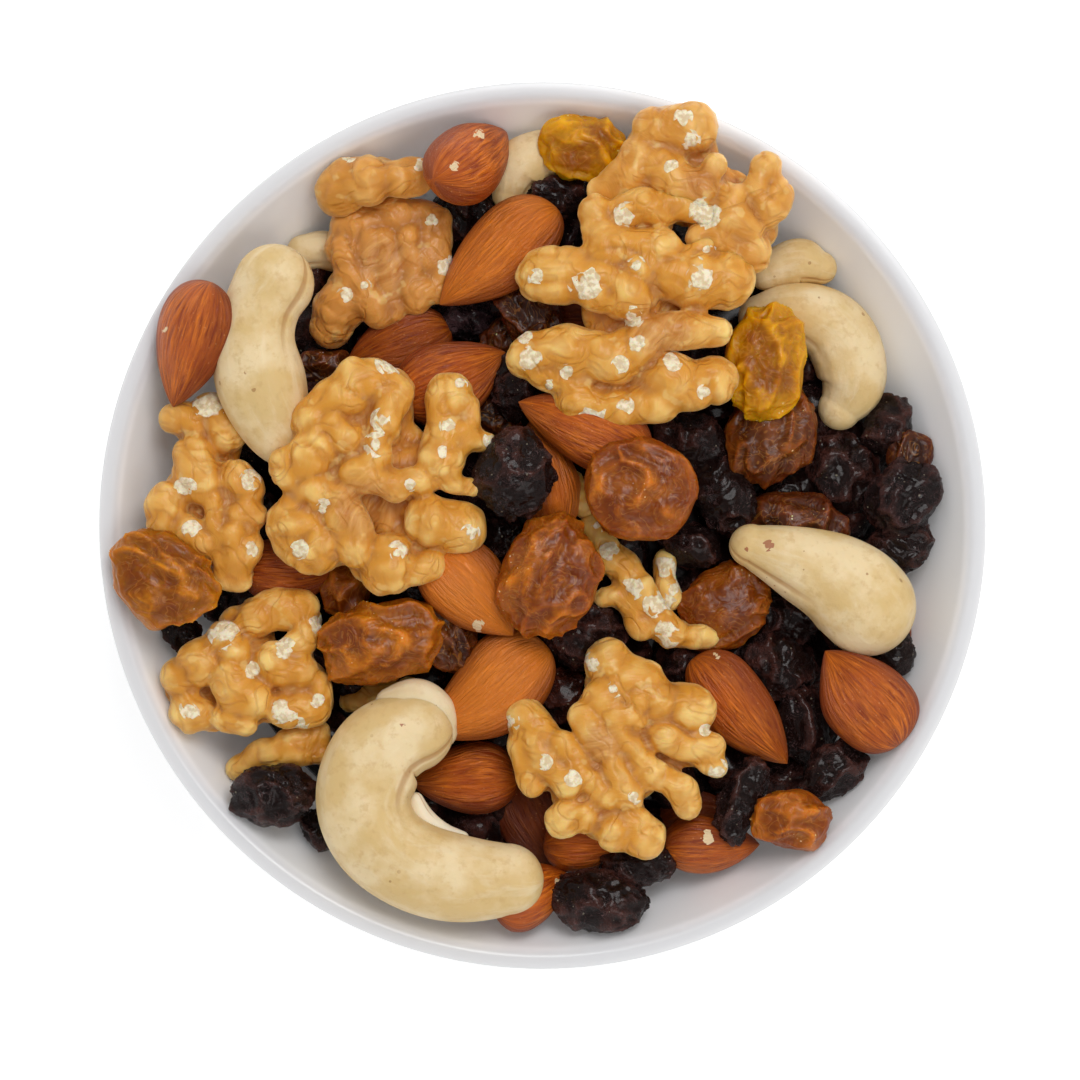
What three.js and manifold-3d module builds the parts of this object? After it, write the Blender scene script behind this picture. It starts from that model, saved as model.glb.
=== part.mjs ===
// A round white bowl heaped with trail mix: walnut halves, cashews, almonds, golden raisins and
// dark raisins. Millimetres, +Z up, origin at the middle of the foot's underside.
import * as THREE from 'three';
import { mergeVertices } from 'three/addons/utils/BufferGeometryUtils.js';
import Module from 'manifold-3d';

// ---- Bowl ----
const RIM_HEIGHT = 50;          // underside of the foot to the top of the rim
const RIM_OUTER = 62.2;         // radius over the rim
const RIM_INNER = 59.6;         // radius just inside the rim
const INNER_DEPTH = 44;         // rim to the bottom of the hollow
const OUTER_DEPTH = 49.5;       // rim to where the outside would meet the axis
const BOWL_POWER = 1.8;         // of the wall's curve: 1 for an ellipse, 2 for a parabola
const FOOT_OUTER = 25;          // radius of the foot ring, outside
const FOOT_INNER = 21;          // radius of the foot ring, inside
const FOOT_RECESS = 2.6;        // depth of the hollow inside the foot ring
const BOWL_SIDES = 48;

// ---- Heap ----
const GAP = 0.35;               // clear space between the bowl and the heap
const CORE_TOP = 49;            // height of the core's dome in the middle
const CORE_FALL = 7;            // how far the dome falls at CORE_REACH from the middle
const CORE_REACH = 56;
const CORE_EDGE = 51;           // radius of the core's upper edge
const SEED = 7;

// The pieces are laid out on a plan of the heap, drawn as seen from EYE above the rim. One step of
// the plan is GRID at the rim's height, x runs to the right and y runs down from the plan's corner.
const GRID = 0.14;
const PLAN_X = 542.5;
const PLAN_Y = 525.5;
const EYE = 700;

// Almonds and raisins: plan x, plan y, height over the rim, length, width, thickness, heading,
// pitch and roll. An almond's heading runs from its blunt end to its tip.
const ALMONDS = {
  A16: [536, 825, -9.4, 15.7, 10.9, 7.8, -62, 0, 10],
  A3: [192, 345, 3.7, 18.5, 11.8, 8.0, 252, 12, 34],
  A4: [398, 347, -5.4, 15.7, 10.6, 7.8, 200, 0, 10],
  A5: [452, 377, -0.6, 16.5, 12.0, 8.2, 25, 0, 10],
  A7: [543, 476, -0.6, 15.7, 11.2, 8.0, 104, 0, 55],
  A11: [292, 572, -4.0, 14.0, 9.5, 7.3, 4, 0, -20],
  A14: [711, 846, -4.2, 13.7, 9.8, 7.3, 2, 0, 55],
  A15: [532, 893, -1.9, 12.9, 9.2, 7.0, 28, 30, 20],
  A2: [470, 156, 0.9, 19.9, 10.9, 7.8, 38, 50, 0],
  A6: [584, 430, 3.2, 19.9, 10.6, 7.8, 157, 0, -20],
  A8: [472, 590, 2.2, 17.1, 11.5, 8.1, -48, 0, 15],
  A10: [465, 781, -6.5, 15.1, 10.6, 8.0, 182, 0, 15],
  A13: [862, 698, -0.7, 16.8, 12.6, 7.8, 128, 0, 0],
  A9: [488, 692, -0.5, 21.0, 12.9, 8.4, 215, 0, 10],
  A12: [740, 711, -2.5, 19.9, 11.2, 8.0, -48, 0, 38],
  A1: [499, 257, -1.0, 21.3, 11.8, 8.0, 219, 0, 22],
};
const GOLDEN_RAISINS = {
  G10: [795, 522, -5.0, 14.6, 7.8, 7.0, -5, 0, 0],
  G11: [346, 586, -4.2, 9.0, 7.3, 6.4, 90, 0, 0],
  G12: [446, 635, -1.4, 11.2, 8.7, 6.7, -60, 0, 0],
  G15: [530, 315, -2.0, 11.2, 8.1, 6.7, -50, 0, 0],
  G8: [725, 605, -4.0, 13.2, 11.8, 7.8, 40, 0, 0],
  G7: [770, 432, -3.4, 15.1, 12.6, 8.1, 70, 0, 0],
  G9: [791, 820, 0.5, 12.0, 8.0, 7.0, -4, 0, 0],
  G2: [584, 148, -2.1, 13.2, 9.5, 7.8, -4, 0, 0],
  G6: [163, 579, 3.0, 15.4, 12.9, 7.6, -28, 0, 0],
  G5: [381, 642, 2.2, 17.9, 12.3, 8.4, 12, 0, 0],
  G3: [641, 489, 6.6, 16.0, 15.1, 8.6, -20, 0, 0],
  G4: [547, 577, 6.2, 17.6, 14.3, 8.6, 62, 0, 0],
  G1: [765, 363, 1.0, 16.5, 11.2, 8.7, 83, 0, 0],
};
const DARK_RAISINS = {
  D13: [898, 550, -8.9, 10.1, 7.8, 6.7, 30, 0, 0],
  D20: [462, 318, -7.1, 8.7, 6.4, 5.9, 0, 0, 0],
  D35: [572, 234, -9.0, 8.1, 6.4, 5.9, 80, 0, 0],
  D3: [468, 213, -7.3, 10.4, 8.4, 7.0, -30, 0, 0],
  D4: [562, 197, -4.5, 10.9, 6.2, 6.2, -4, 0, 0],
  D5: [600, 900, -1.8, 14.6, 8.4, 7.3, -4, 0, 0],
  D6: [585, 635, -2.7, 11.5, 10.1, 7.6, 0, 0, 0],
  D7: [690, 440, -4.0, 12.3, 7.8, 6.7, -20, 0, 0],
  D8: [725, 495, -3.7, 11.2, 9.2, 7.3, -60, 0, 0],
  D9: [692, 546, -4.2, 9.0, 7.0, 6.2, -10, 0, 0],
  D10: [842, 475, -8.5, 12.9, 10.9, 7.8, -60, 0, 0],
  D11: [902, 497, -4.5, 11.5, 9.8, 7.6, 60, 0, 0],
  D15: [775, 665, -7.1, 11.5, 9.8, 7.3, -30, 0, 0],
  D16: [803, 722, -6.6, 11.5, 7.8, 6.7, -75, 0, 0],
  D17: [834, 771, -3.7, 10.4, 7.0, 6.4, 45, 0, 0],
  D19: [640, 862, -3.4, 10.9, 6.7, 6.2, 4, 0, 0],
  D21: [515, 385, -0.7, 10.9, 6.4, 6.2, 82, 0, 0],
  D2: [273, 794, -0.2, 12.0, 9.1, 7.6, 5, 0, 0],
  D18: [742, 802, -1.0, 12.9, 6.4, 6.2, 70, 0, 0],
  D1: [514, 474, 6.2, 12.9, 11.2, 8.4, 80, 0, 0],
};
// Cashews: height over the rim, then the middle line as plan x, plan y, radius and lift.
const CASHEWS = {
  C5: [-5.5, [[510, 195, 2.5, 0], [518, 170, 4.1, 0], [545, 155, 3.8, 0], [575, 150, 2.8, 0]]],
  C7: [-6.2, [[820, 268, 2.4, 0], [798, 262, 3.4, 0], [766, 272, 2.6, 0]]],
  C3: [-6.2, [[762, 318, 3.4, 0.5], [795, 311, 4.3, 1], [832, 326, 5.2, 0], [850, 358, 5.2, -0.6],
    [852, 388, 4.8, -0.8], [840, 408, 3.1, -0.8]]],
  C4: [-1.3, [[751, 546, 3.1, 1.2], [790, 560, 5.0, 0.6], [830, 575, 6.3, 0], [862, 592, 7.2, -0.6],
    [871, 612, 6.3, -1]]],
  C2: [3.0, [[287, 291, 4.1, -0.5], [258, 284, 5.6, 0], [253, 335, 5.9, 0.6], [261, 385, 6.4, 0.4],
    [276, 428, 5.0, -0.6], [290, 448, 3.6, -1.4]]],
  C1: [2.6, [[415, 727, 5.2, -0.6], [378, 750, 6.4, 0], [367, 790, 7.2, 0.4], [378, 832, 6.5, 0.4],
    [415, 862, 6.3, 0], [460, 877, 6.2, -0.4], [508, 880, 5.0, -1]]],
};
// Walnut halves: height over the rim, then the lobes as two plan points and a radius.
const WALNUTS = {
  W5: [-1.8, [[340, 185, 368, 178, 3.5], [395, 177, 416, 180, 2.7]]],
  W8: [-5.2, [[238, 766, 290, 747, 2.1], [290, 742, 318, 736, 2.4]]],
  W6: [-1.0, [[176, 415, 196, 425, 2.2], [216, 412, 226, 432, 2.8], [196, 455, 202, 482, 3.2],
    [170, 498, 170, 524, 2.8], [224, 482, 248, 492, 2.6], [234, 535, 238, 568, 3.1]]],
  W2: [2.6, [[655, 132, 693, 130, 3.5], [642, 160, 618, 184, 3.2], [660, 172, 700, 186, 3.1],
    [766, 168, 756, 195, 2.4], [768, 196, 766, 208, 3.1], [730, 205, 746, 236, 3.3]]],
  W10: [-3.0, [[600, 542, 640, 590, 2.3], [640, 590, 668, 634, 2.5], [690, 630, 706, 640, 1.8]]],
  W4: [-6.5, [[352, 225, 398, 217, 2.9], [398, 217, 436, 220, 2.5], [440, 232, 438, 275, 2.0],
    [346, 250, 352, 276, 2.7], [332, 325, 346, 302, 3.5], [366, 300, 382, 312, 2.5]]],
  W7: [-1.2, [[254, 614, 300, 610, 2.9], [224, 636, 236, 652, 2.5], [180, 672, 202, 660, 3.1],
    [188, 706, 214, 712, 2.8], [232, 680, 252, 700, 3.1], [272, 664, 300, 672, 2.5],
    [286, 706, 312, 706, 2.9]]],
  W1: [5.2, [[545, 278, 624, 286, 3.9], [530, 352, 590, 360, 3.5], [590, 360, 640, 350, 3.4],
    [605, 252, 660, 256, 3.1], [592, 212, 602, 235, 2.4], [622, 212, 690, 208, 2.5],
    [690, 280, 724, 284, 4.1], [650, 330, 716, 335, 2.4], [665, 385, 714, 384, 3.6],
    [575, 400, 620, 406, 2.8], [640, 402, 662, 404, 2.8]]],
  W3: [4.8, [[310, 415, 356, 388, 3.5], [356, 384, 392, 388, 3.5], [397, 395, 386, 425, 2.5],
    [454, 398, 438, 462, 3.2], [468, 408, 462, 440, 2.0], [455, 447, 487, 440, 1.6],
    [430, 522, 462, 527, 3.5], [384, 572, 400, 560, 3.5], [296, 536, 318, 522, 4.4],
    [292, 464, 318, 458, 3.5], [352, 470, 400, 500, 3.9]]],
  W9: [1.5, [[524, 715, 545, 758, 2.9], [545, 760, 570, 778, 2.4], [606, 668, 640, 690, 3.5],
    [640, 690, 688, 714, 3.1], [662, 735, 708, 752, 2.4], [588, 720, 635, 790, 2.0],
    [662, 768, 688, 800, 2.3], [562, 815, 586, 816, 2.5], [616, 826, 645, 833, 3.1],
    [585, 760, 645, 755, 3.4]]],
};
const WALNUT_DOME = 2.6;        // how much higher a walnut's middle lobes lie than its outer ones
const HEART_DEPTH = 2.4;        // how far a walnut's solid middle lies below its lobes
const HEART_THICK = 6.5;        // thickness of that middle
// Pieces hidden under the others, which carry them: as the raisins' rows.
const HIDDEN = [
  [640, 300, -2.0, 20.0, 17.0, 11.0, 0, 0, 0],
  [690, 185, -5.5, 15.0, 12.0, 12.0, 0, 0, 0],
  [547, 560, 0.5, 9.0, 8.0, 7.0, 0, 0, 0],
  [848, 690, -6.0, 11.0, 9.0, 8.0, 0, 0, 0],
  [184, 562, -2.0, 13.0, 11.0, 9.0, 0, 0, 0],
  [375, 190, -6.5, 14.0, 9.0, 8.0, 30, 0, 0],
  [818, 752, -7.5, 10.0, 9.0, 6.0, 0, 0, 0],
  [268, 776, -5.0, 12.0, 9.0, 8.0, 0, 0, 0],
  [602, 885, -7.5, 12.0, 9.0, 7.0, 0, 0, 0],
  [700, 836, -7.0, 17.0, 12.0, 8.0, 0, 0, 0],
];

// ---- Small helpers ----
const wasm = await Module();
wasm.setup();

// A repeatable draw from 0 to 1.
let state = SEED;
function draw() {
  state = (state * 1664525 + 1013904223) % 4294967296;
  return state / 4294967296;
}

function toSolid(geometry) {
  const bare = geometry.clone();
  bare.deleteAttribute('normal');
  bare.deleteAttribute('uv');
  const joined = mergeVertices(bare, 1e-4);
  return new wasm.Manifold(new wasm.Mesh({
    numProp: 3,
    vertProperties: new Float32Array(joined.attributes.position.array),
    triVerts: new Uint32Array(joined.index.array),
  }));
}

function toMesh(solid, name, material) {
  const data = solid.getMesh();
  const geometry = new THREE.BufferGeometry();
  geometry.setAttribute('position', new THREE.BufferAttribute(new Float32Array(data.vertProperties), 3));
  geometry.setIndex(new THREE.BufferAttribute(new Uint32Array(data.triVerts), 1));
  geometry.computeVertexNormals();
  const mesh = new THREE.Mesh(geometry, material);
  mesh.name = name;
  return mesh;
}

// Where a plan point lies at a height over the rim.
function planPoint(gx, gy, height) {
  const step = GRID * (1 - height / EYE);
  return new THREE.Vector3((gx - PLAN_X) * step, (PLAN_Y - gy) * step, RIM_HEIGHT + height);
}

function turnAndPlace(geometry, row) {
  const [gx, gy, height, , , , heading, pitch, roll] = row;
  const turn = new THREE.Euler(THREE.MathUtils.degToRad(roll), THREE.MathUtils.degToRad(pitch),
    THREE.MathUtils.degToRad(heading), 'ZYX');
  const at = planPoint(gx, gy, height);
  const matrix = new THREE.Matrix4().makeRotationFromEuler(turn).setPosition(at);
  return geometry.applyMatrix4(matrix);
}

// Changes every vertex of a ball whose poles lie on the X axis.
function shapeBall(sides, rings, rule) {
  const ball = new THREE.SphereGeometry(1, sides, rings);
  ball.rotateZ(-Math.PI / 2);
  ball.deleteAttribute('normal');
  ball.deleteAttribute('uv');
  const shaped = mergeVertices(ball, 1e-4);
  const place = shaped.attributes.position;
  const point = new THREE.Vector3();
  for (let i = 0; i < place.count; i += 1) {
    point.fromBufferAttribute(place, i);
    rule(point);
    place.setXYZ(i, point.x, point.y, point.z);
  }
  return shaped;
}

// ---- Pieces ----
// An almond: blunt at one end and pointed at the other, with a flattened round section.
function almond(row) {
  const [, , , length, width, thick] = row;
  const top = Math.sqrt(0.37) * (0.63 ** 0.85);
  return shapeBall(8, 6, (p) => {
    const along = (1 + p.x) / 2;
    const around = Math.hypot(p.y, p.z) || 1;
    const swell = (Math.sqrt(along) * (1 - along) ** 0.85) / top;
    const y = p.y / around;
    const z = p.z / around;
    const onAxis = Math.hypot(p.y, p.z) < 1e-6 ? 0 : 1;
    p.set(length * (along - 0.5), onAxis * swell * (width / 2) * y, onAxis * swell * (thick / 2) * z);
  });
}

// A raisin: a flattened ball with a few broad dents.
function raisin(row, dent) {
  const [, , , length, width, thick] = row;
  const a = draw() * 6.28;
  const b = draw() * 6.28;
  const c = draw() * 6.28;
  return shapeBall(7, 4, (p) => {
    const bump = 1 + dent * Math.sin(3.1 * p.x + a) * Math.cos(2.6 * p.y + b) + dent * Math.sin(4.2 * p.z + 2.0 * p.y + c);
    p.multiplyScalar(bump / (1 + dent * 0.5));
    p.set(p.x * length / 2, p.y * width / 2, p.z * thick / 2);
  });
}

// A cashew: a round section along a bent middle line, closed by round ends.
function cashew(row) {
  const [height, line] = row;
  const points = line.map(([gx, gy, , lift]) => planPoint(gx, gy, height).add(new THREE.Vector3(0, 0, lift)));
  const radii = line.map(([, , radius]) => new THREE.Vector3(radius, 0, 0));
  const path = new THREE.CatmullRomCurve3(points, false, 'centripetal');
  const swell = new THREE.CatmullRomCurve3(radii, false, 'catmullrom');
  const up = new THREE.Vector3(0, 0, 1);
  return shapeBall(8, 11, (p) => {
    // The first and last parts of the ball's length become the ends, the rest is the bent middle.
    const around = Math.acos(THREE.MathUtils.clamp(-p.x, -1, 1)) / Math.PI;
    const cap = 0.2;
    const t = THREE.MathUtils.clamp((around - cap) / (1 - 2 * cap), 0, 1);
    const radius = swell.getPoint(t).x;
    let past = 0;
    if (around < cap) past = around / cap - 1;
    if (around > 1 - cap) past = (around - 1 + cap) / cap;
    const ahead = path.getTangent(t);
    const side = new THREE.Vector3().crossVectors(up, ahead).normalize();
    const over = new THREE.Vector3().crossVectors(ahead, side).normalize();
    const size = Math.hypot(p.y, p.z) < 1e-6 ? 0 : radius * Math.cos(past * Math.PI / 2);
    const ring = Math.hypot(p.y, p.z) || 1;
    const at = path.getPoint(t);
    at.addScaledVector(ahead, radius * Math.sin(past * Math.PI / 2));
    at.addScaledVector(side, size * p.y / ring);
    at.addScaledVector(over, 0.88 * size * p.z / ring);
    p.copy(at);
  });
}

// A walnut half: fat lobes with round ends, highest in the middle.
function walnut(row) {
  const [height, lobes] = row;
  const ends = lobes.map(([x1, y1, x2, y2]) => [planPoint(x1, y1, height), planPoint(x2, y2, height)]);
  const middle = new THREE.Vector3();
  ends.forEach(([from, to]) => middle.add(from).add(to));
  middle.divideScalar(2 * ends.length);
  const reach = Math.max(...ends.flat().map((p) => p.distanceTo(middle))) + 1e-6;
  const heart = shapeBall(7, 4, (p) => p.set(p.x, p.y, p.z * HEART_THICK / 2));
  const spanX = Math.max(...ends.flat().map((p) => Math.abs(p.x - middle.x)));
  const spanY = Math.max(...ends.flat().map((p) => Math.abs(p.y - middle.y)));
  heart.scale(0.8 * spanX + 1, 0.8 * spanY + 1, 1);
  heart.translate(middle.x, middle.y, middle.z - HEART_DEPTH);
  const shapes = ends.map(([from, to], i) => {
    [from, to].forEach((p) => { p.z += WALNUT_DOME * (1 - (p.distanceTo(middle) / reach) ** 2); });
    const radius = lobes[i][4];
    const lobe = new THREE.CapsuleGeometry(radius, from.distanceTo(to), 1, 6);
    const ahead = to.clone().sub(from).normalize();
    const turn = new THREE.Quaternion().setFromUnitVectors(new THREE.Vector3(0, 1, 0), ahead);
    lobe.rotateY(draw() * 6.28);
    lobe.applyQuaternion(turn);
    lobe.translate((from.x + to.x) / 2, (from.y + to.y) / 2, (from.z + to.z) / 2);
    return lobe;
  });
  return [heart, ...shapes];
}

// ---- Bowl: one turned profile ----
// A bowl curve: its radius and its height at an angle from 0 at the axis to a quarter turn at the rim.
function bowlCurve(radius, depth, angle) {
  return new THREE.Vector2(radius * Math.sin(angle), RIM_HEIGHT - depth * Math.cos(angle) ** BOWL_POWER);
}

function bowlProfile() {
  const under = RIM_HEIGHT - OUTER_DEPTH + FOOT_RECESS - 0.4;
  const points = [[0, under], [FOOT_INNER - 1.4, under], [FOOT_INNER - 0.4, under - 1], [FOOT_INNER, 0.7],
    [FOOT_INNER + 0.7, 0], [FOOT_OUTER - 0.7, 0], [FOOT_OUTER, 0.7], [FOOT_OUTER + 0.2, 4.5]]
    .map(([x, y]) => new THREE.Vector2(x, y));
  const start = Math.asin((FOOT_OUTER + 1.6) / RIM_OUTER);
  for (let i = 0; i <= 6; i += 1) {
    points.push(bowlCurve(RIM_OUTER, OUTER_DEPTH, start + (1.535 - start) * i / 6));
  }
  points.push(new THREE.Vector2(RIM_OUTER - 0.35, RIM_HEIGHT - 0.5));
  points.push(new THREE.Vector2(RIM_OUTER - 1.0, RIM_HEIGHT));
  points.push(new THREE.Vector2(RIM_INNER + 0.9, RIM_HEIGHT));
  points.push(new THREE.Vector2(RIM_INNER + 0.25, RIM_HEIGHT - 0.5));
  for (let i = 6; i >= 0; i -= 1) {
    points.push(bowlCurve(RIM_INNER, INNER_DEPTH, 1.53 * i / 6));
  }
  points[points.length - 1].x = 0;
  return points;
}

const bowlGeometry = new THREE.LatheGeometry(bowlProfile(), BOWL_SIDES);
bowlGeometry.rotateX(Math.PI / 2);
const bowl = new THREE.Mesh(bowlGeometry, new THREE.MeshStandardMaterial({ color: 0xe6e7ea, roughness: 0.25 }));
bowl.name = 'bowl';

// ---- Heap: a core, the pieces that show, and nothing nearer to the bowl than GAP ----
function turned(points, sides) {
  const geometry = new THREE.LatheGeometry(points, sides);
  geometry.rotateX(Math.PI / 2);
  return toSolid(geometry);
}

// The inner face moved in by a distance, from the axis up to an angle.
function innerFace(inset, last, steps) {
  const points = [];
  for (let i = 0; i <= steps; i += 1) {
    points.push(bowlCurve(RIM_INNER - inset, INNER_DEPTH - inset, last * i / steps));
  }
  points[0].x = 0;
  return points;
}

function coreSolid() {
  const points = innerFace(GAP + 1.0, 1.05, 5);
  for (let i = 4; i >= 0; i -= 1) {
    const r = CORE_EDGE * i / 4;
    points.push(new THREE.Vector2(r, CORE_TOP - CORE_FALL * (r / CORE_REACH) ** 2));
  }
  return turned(points, 20);
}

function clearSpace() {
  const points = innerFace(GAP + 0.2, 1.5, 9);
  points.push(new THREE.Vector2(RIM_INNER - GAP - 0.1, RIM_HEIGHT + GAP));
  points.push(new THREE.Vector2(RIM_OUTER + 6, RIM_HEIGHT + GAP));
  points.push(new THREE.Vector2(RIM_OUTER + 6, RIM_HEIGHT + 40));
  points.push(new THREE.Vector2(0, RIM_HEIGHT + 40));
  return turned(points, BOWL_SIDES);
}

const pieces = [coreSolid()];
HIDDEN.forEach((row) => pieces.push(toSolid(turnAndPlace(raisin(row, 0), row))));
Object.values(DARK_RAISINS).forEach((row) => pieces.push(toSolid(turnAndPlace(raisin(row, 0.09), row))));
Object.values(GOLDEN_RAISINS).forEach((row) => pieces.push(toSolid(turnAndPlace(raisin(row, 0.06), row))));
Object.values(ALMONDS).forEach((row) => pieces.push(toSolid(turnAndPlace(almond(row), row))));
Object.values(CASHEWS).forEach((row) => pieces.push(toSolid(cashew(row))));
Object.values(WALNUTS).forEach((row) => walnut(row).forEach((lobe) => pieces.push(toSolid(lobe))));

const fused = wasm.Manifold.union(pieces).intersect(clearSpace());
// The outer skin is the largest part: hollows that fusing sealed and loose scraps are left out.
const parts = fused.decompose().sort((a, b) => b.volume() - a.volume());
const heap = toMesh(parts[0], 'trail_mix', new THREE.MeshStandardMaterial({ color: 0xb98046, roughness: 0.6 }));

const group = new THREE.Group();
group.name = 'bowl_of_trail_mix';
group.add(bowl, heap);
export default group;
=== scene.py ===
# %% [markdown]
# # A bowl of trail mix
# The CAD frame gives the bowl and the heap at their real size. This lesson puts the real things in
# their place: a smooth glazed bowl, and in it walnut halves, cashews, almonds and raisins, each
# shaped by a formula and laid out on a plan of the heap.

import bpy
import numpy as np
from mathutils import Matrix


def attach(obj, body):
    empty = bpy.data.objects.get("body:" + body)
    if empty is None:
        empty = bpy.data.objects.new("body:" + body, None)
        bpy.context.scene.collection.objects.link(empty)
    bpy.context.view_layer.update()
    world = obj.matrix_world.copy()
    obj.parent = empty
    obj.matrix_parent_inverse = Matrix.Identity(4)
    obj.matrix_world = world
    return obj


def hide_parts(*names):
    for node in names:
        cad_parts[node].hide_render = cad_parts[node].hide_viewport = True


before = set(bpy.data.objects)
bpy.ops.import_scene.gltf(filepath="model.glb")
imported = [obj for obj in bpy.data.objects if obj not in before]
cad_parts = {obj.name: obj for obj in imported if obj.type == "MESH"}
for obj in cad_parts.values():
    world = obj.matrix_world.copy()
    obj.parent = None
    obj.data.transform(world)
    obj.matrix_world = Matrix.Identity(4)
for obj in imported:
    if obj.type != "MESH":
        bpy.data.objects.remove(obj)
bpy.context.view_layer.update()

# %% [markdown]
# ## Sizes
# Lengths are in millimetres while a shape is worked out, and in metres once it is a mesh. The bowl
# is one curve, `bowl_curve`, used for the outside, the inside and the heap's core.

# %% Named sizes
MM = 0.001
RIM_HEIGHT = 50.0      # foot to rim
RIM_OUTER = 62.16      # radius over the rim
RIM_INNER = 59.6       # radius just inside the rim
INNER_DEPTH = 44.0     # rim to the bottom of the hollow
OUTER_DEPTH = 49.5     # rim to where the outside would meet the axis
FOOT_OUTER = 25.0      # radius of the foot ring, outside
FOOT_INNER = 21.0      # radius of the foot ring, inside
BOWL_POWER = 1.8       # 1 for an ellipse, 2 for a parabola
GRID = 0.14            # one step of the plan, at the rim's height
PLAN_X, PLAN_Y = 542.5, 525.5   # the bowl's axis on the plan
EYE = 700.0            # the plan is drawn as seen from this height over the rim
WALL_GAP = 0.25        # least gap between a piece and the bowl's inner face
rng = np.random.default_rng(11)


def bowl_curve(radius, depth, angle):
    """Radius and height at an angle from 0 on the axis to a quarter turn at the rim:
    radius times the sine, and the rim less depth times the cosine to the power BOWL_POWER."""
    return radius * np.sin(angle), RIM_HEIGHT - depth * np.cos(angle) ** BOWL_POWER


def plan_point(gx, gy, height):
    """The place in millimetres of a plan point that lies at a height over the rim. A higher
    point is drawn larger, so its step is smaller by height / EYE."""
    step = GRID * (1 - np.asarray(height) / EYE)
    return np.stack([(np.asarray(gx) - PLAN_X) * step, (PLAN_Y - np.asarray(gy)) * step,
                     RIM_HEIGHT + np.asarray(height) + 0 * (step + np.asarray(gx))], axis=-1)


print("bowl", 2 * RIM_OUTER, "mm across and", RIM_HEIGHT, "mm high")

# %% [markdown]
# ## The plan of the heap
# Each almond or raisin is one row: plan x, plan y, height over the rim, length, width, thickness,
# heading, pitch, roll and tone. The deepest come first. An almond's heading runs from its blunt
# end to its tip. A tone of 0 is the usual colour, -1 the darkest and 1 the lightest.

# %% Almonds and raisins
ALMONDS = [
    [884, 618, -8.2, 13.4, 9.2, 7.0, 80, 0, -30, -0.6],
    [596, 322, -5.8, 12.6, 9.2, 7.0, 0, 0, 10, -0.8],
    [700, 824, -11.2, 12.6, 9.2, 7.0, 8, 0, 10, -0.8],
    [536, 825, -9.4, 15.7, 10.9, 7.8, -62, 0, 10, -1.0],
    [588, 846, -5.0, 12.6, 9.2, 7.0, 0, 0, 30, -0.2],
    [192, 345, 3.7, 18.5, 11.8, 8.0, 252, 12, 34, 0.0],
    [398, 347, -5.4, 15.7, 10.6, 7.8, 200, 0, 10, -0.6],
    [452, 377, -0.6, 16.5, 12.0, 8.2, 25, 0, 10, -0.3],
    [543, 476, -0.6, 15.7, 11.2, 8.0, 104, 0, 55, 0.4],
    [292, 572, -4.0, 14.0, 9.5, 7.3, 4, 0, -20, -0.5],
    [711, 846, -4.2, 13.7, 9.8, 7.3, 2, 0, 55, 0.1],
    [532, 893, -1.9, 12.9, 9.2, 7.0, 28, 30, 20, 0.0],
    [470, 156, 0.9, 19.9, 10.9, 7.8, 38, 50, 0, -0.1],
    [584, 430, 3.2, 19.9, 10.6, 7.8, 157, 0, -20, 0.1],
    [472, 590, 2.2, 17.1, 11.5, 8.1, -48, 0, 15, 0.9],
    [465, 781, -6.5, 15.1, 10.6, 8.0, 182, 0, 15, 0.0],
    [862, 698, -0.7, 16.8, 12.6, 7.8, 128, 0, 0, -0.3],
    [488, 692, -0.5, 21.0, 12.9, 8.4, 215, 0, 10, 0.8],
    [740, 711, -2.5, 19.9, 11.2, 8.0, -48, 0, 38, 0.2],
    [499, 257, -1.0, 21.3, 11.8, 8.0, 219, 0, 22, 0.6],
]
GOLDEN_RAISINS = [
    [493, 412, -3.9, 8.4, 6.4, 5.6, -40, 0, 0, -1.0],
    [322, 370, -8.0, 9.0, 6.7, 5.9, 0, 0, 0, -0.8],
    [505, 337, -5.9, 7.8, 6.2, 5.6, 60, 0, 0, -1.0],
    [908, 455, -6.1, 7.6, 6.2, 5.6, 80, 0, 0, -1.0],
    [795, 522, -5.0, 14.6, 7.8, 7.0, -5, 0, 0, -0.9],
    [346, 586, -4.2, 9.0, 7.3, 6.4, 90, 0, 0, -0.2],
    [446, 635, -1.4, 11.2, 8.7, 6.7, -60, 0, 0, -0.7],
    [530, 315, -2.0, 11.2, 8.1, 6.7, -50, 0, 0, -0.9],
    [725, 605, -4.0, 13.2, 11.8, 7.8, 40, 0, 0, -0.3],
    [770, 432, -3.4, 15.1, 12.6, 8.1, 70, 0, 0, -0.6],
    [791, 820, 0.5, 12.0, 8.0, 7.0, -4, 0, 0, -0.1],
    [584, 148, -2.1, 13.2, 9.5, 7.8, -4, 0, 0, 0.9],
    [163, 579, 3.0, 15.4, 12.9, 7.6, -28, 0, 0, 0.4],
    [381, 642, 2.2, 17.9, 12.3, 8.4, 12, 0, 0, 0.3],
    [641, 489, 6.6, 16.0, 15.1, 8.6, -20, 0, 0, 0.1],
    [547, 577, 6.2, 17.6, 14.3, 8.6, 62, 0, 0, 0.1],
    [765, 363, 1.0, 16.5, 11.2, 8.7, 83, 0, 0, 1.0],
]
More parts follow.
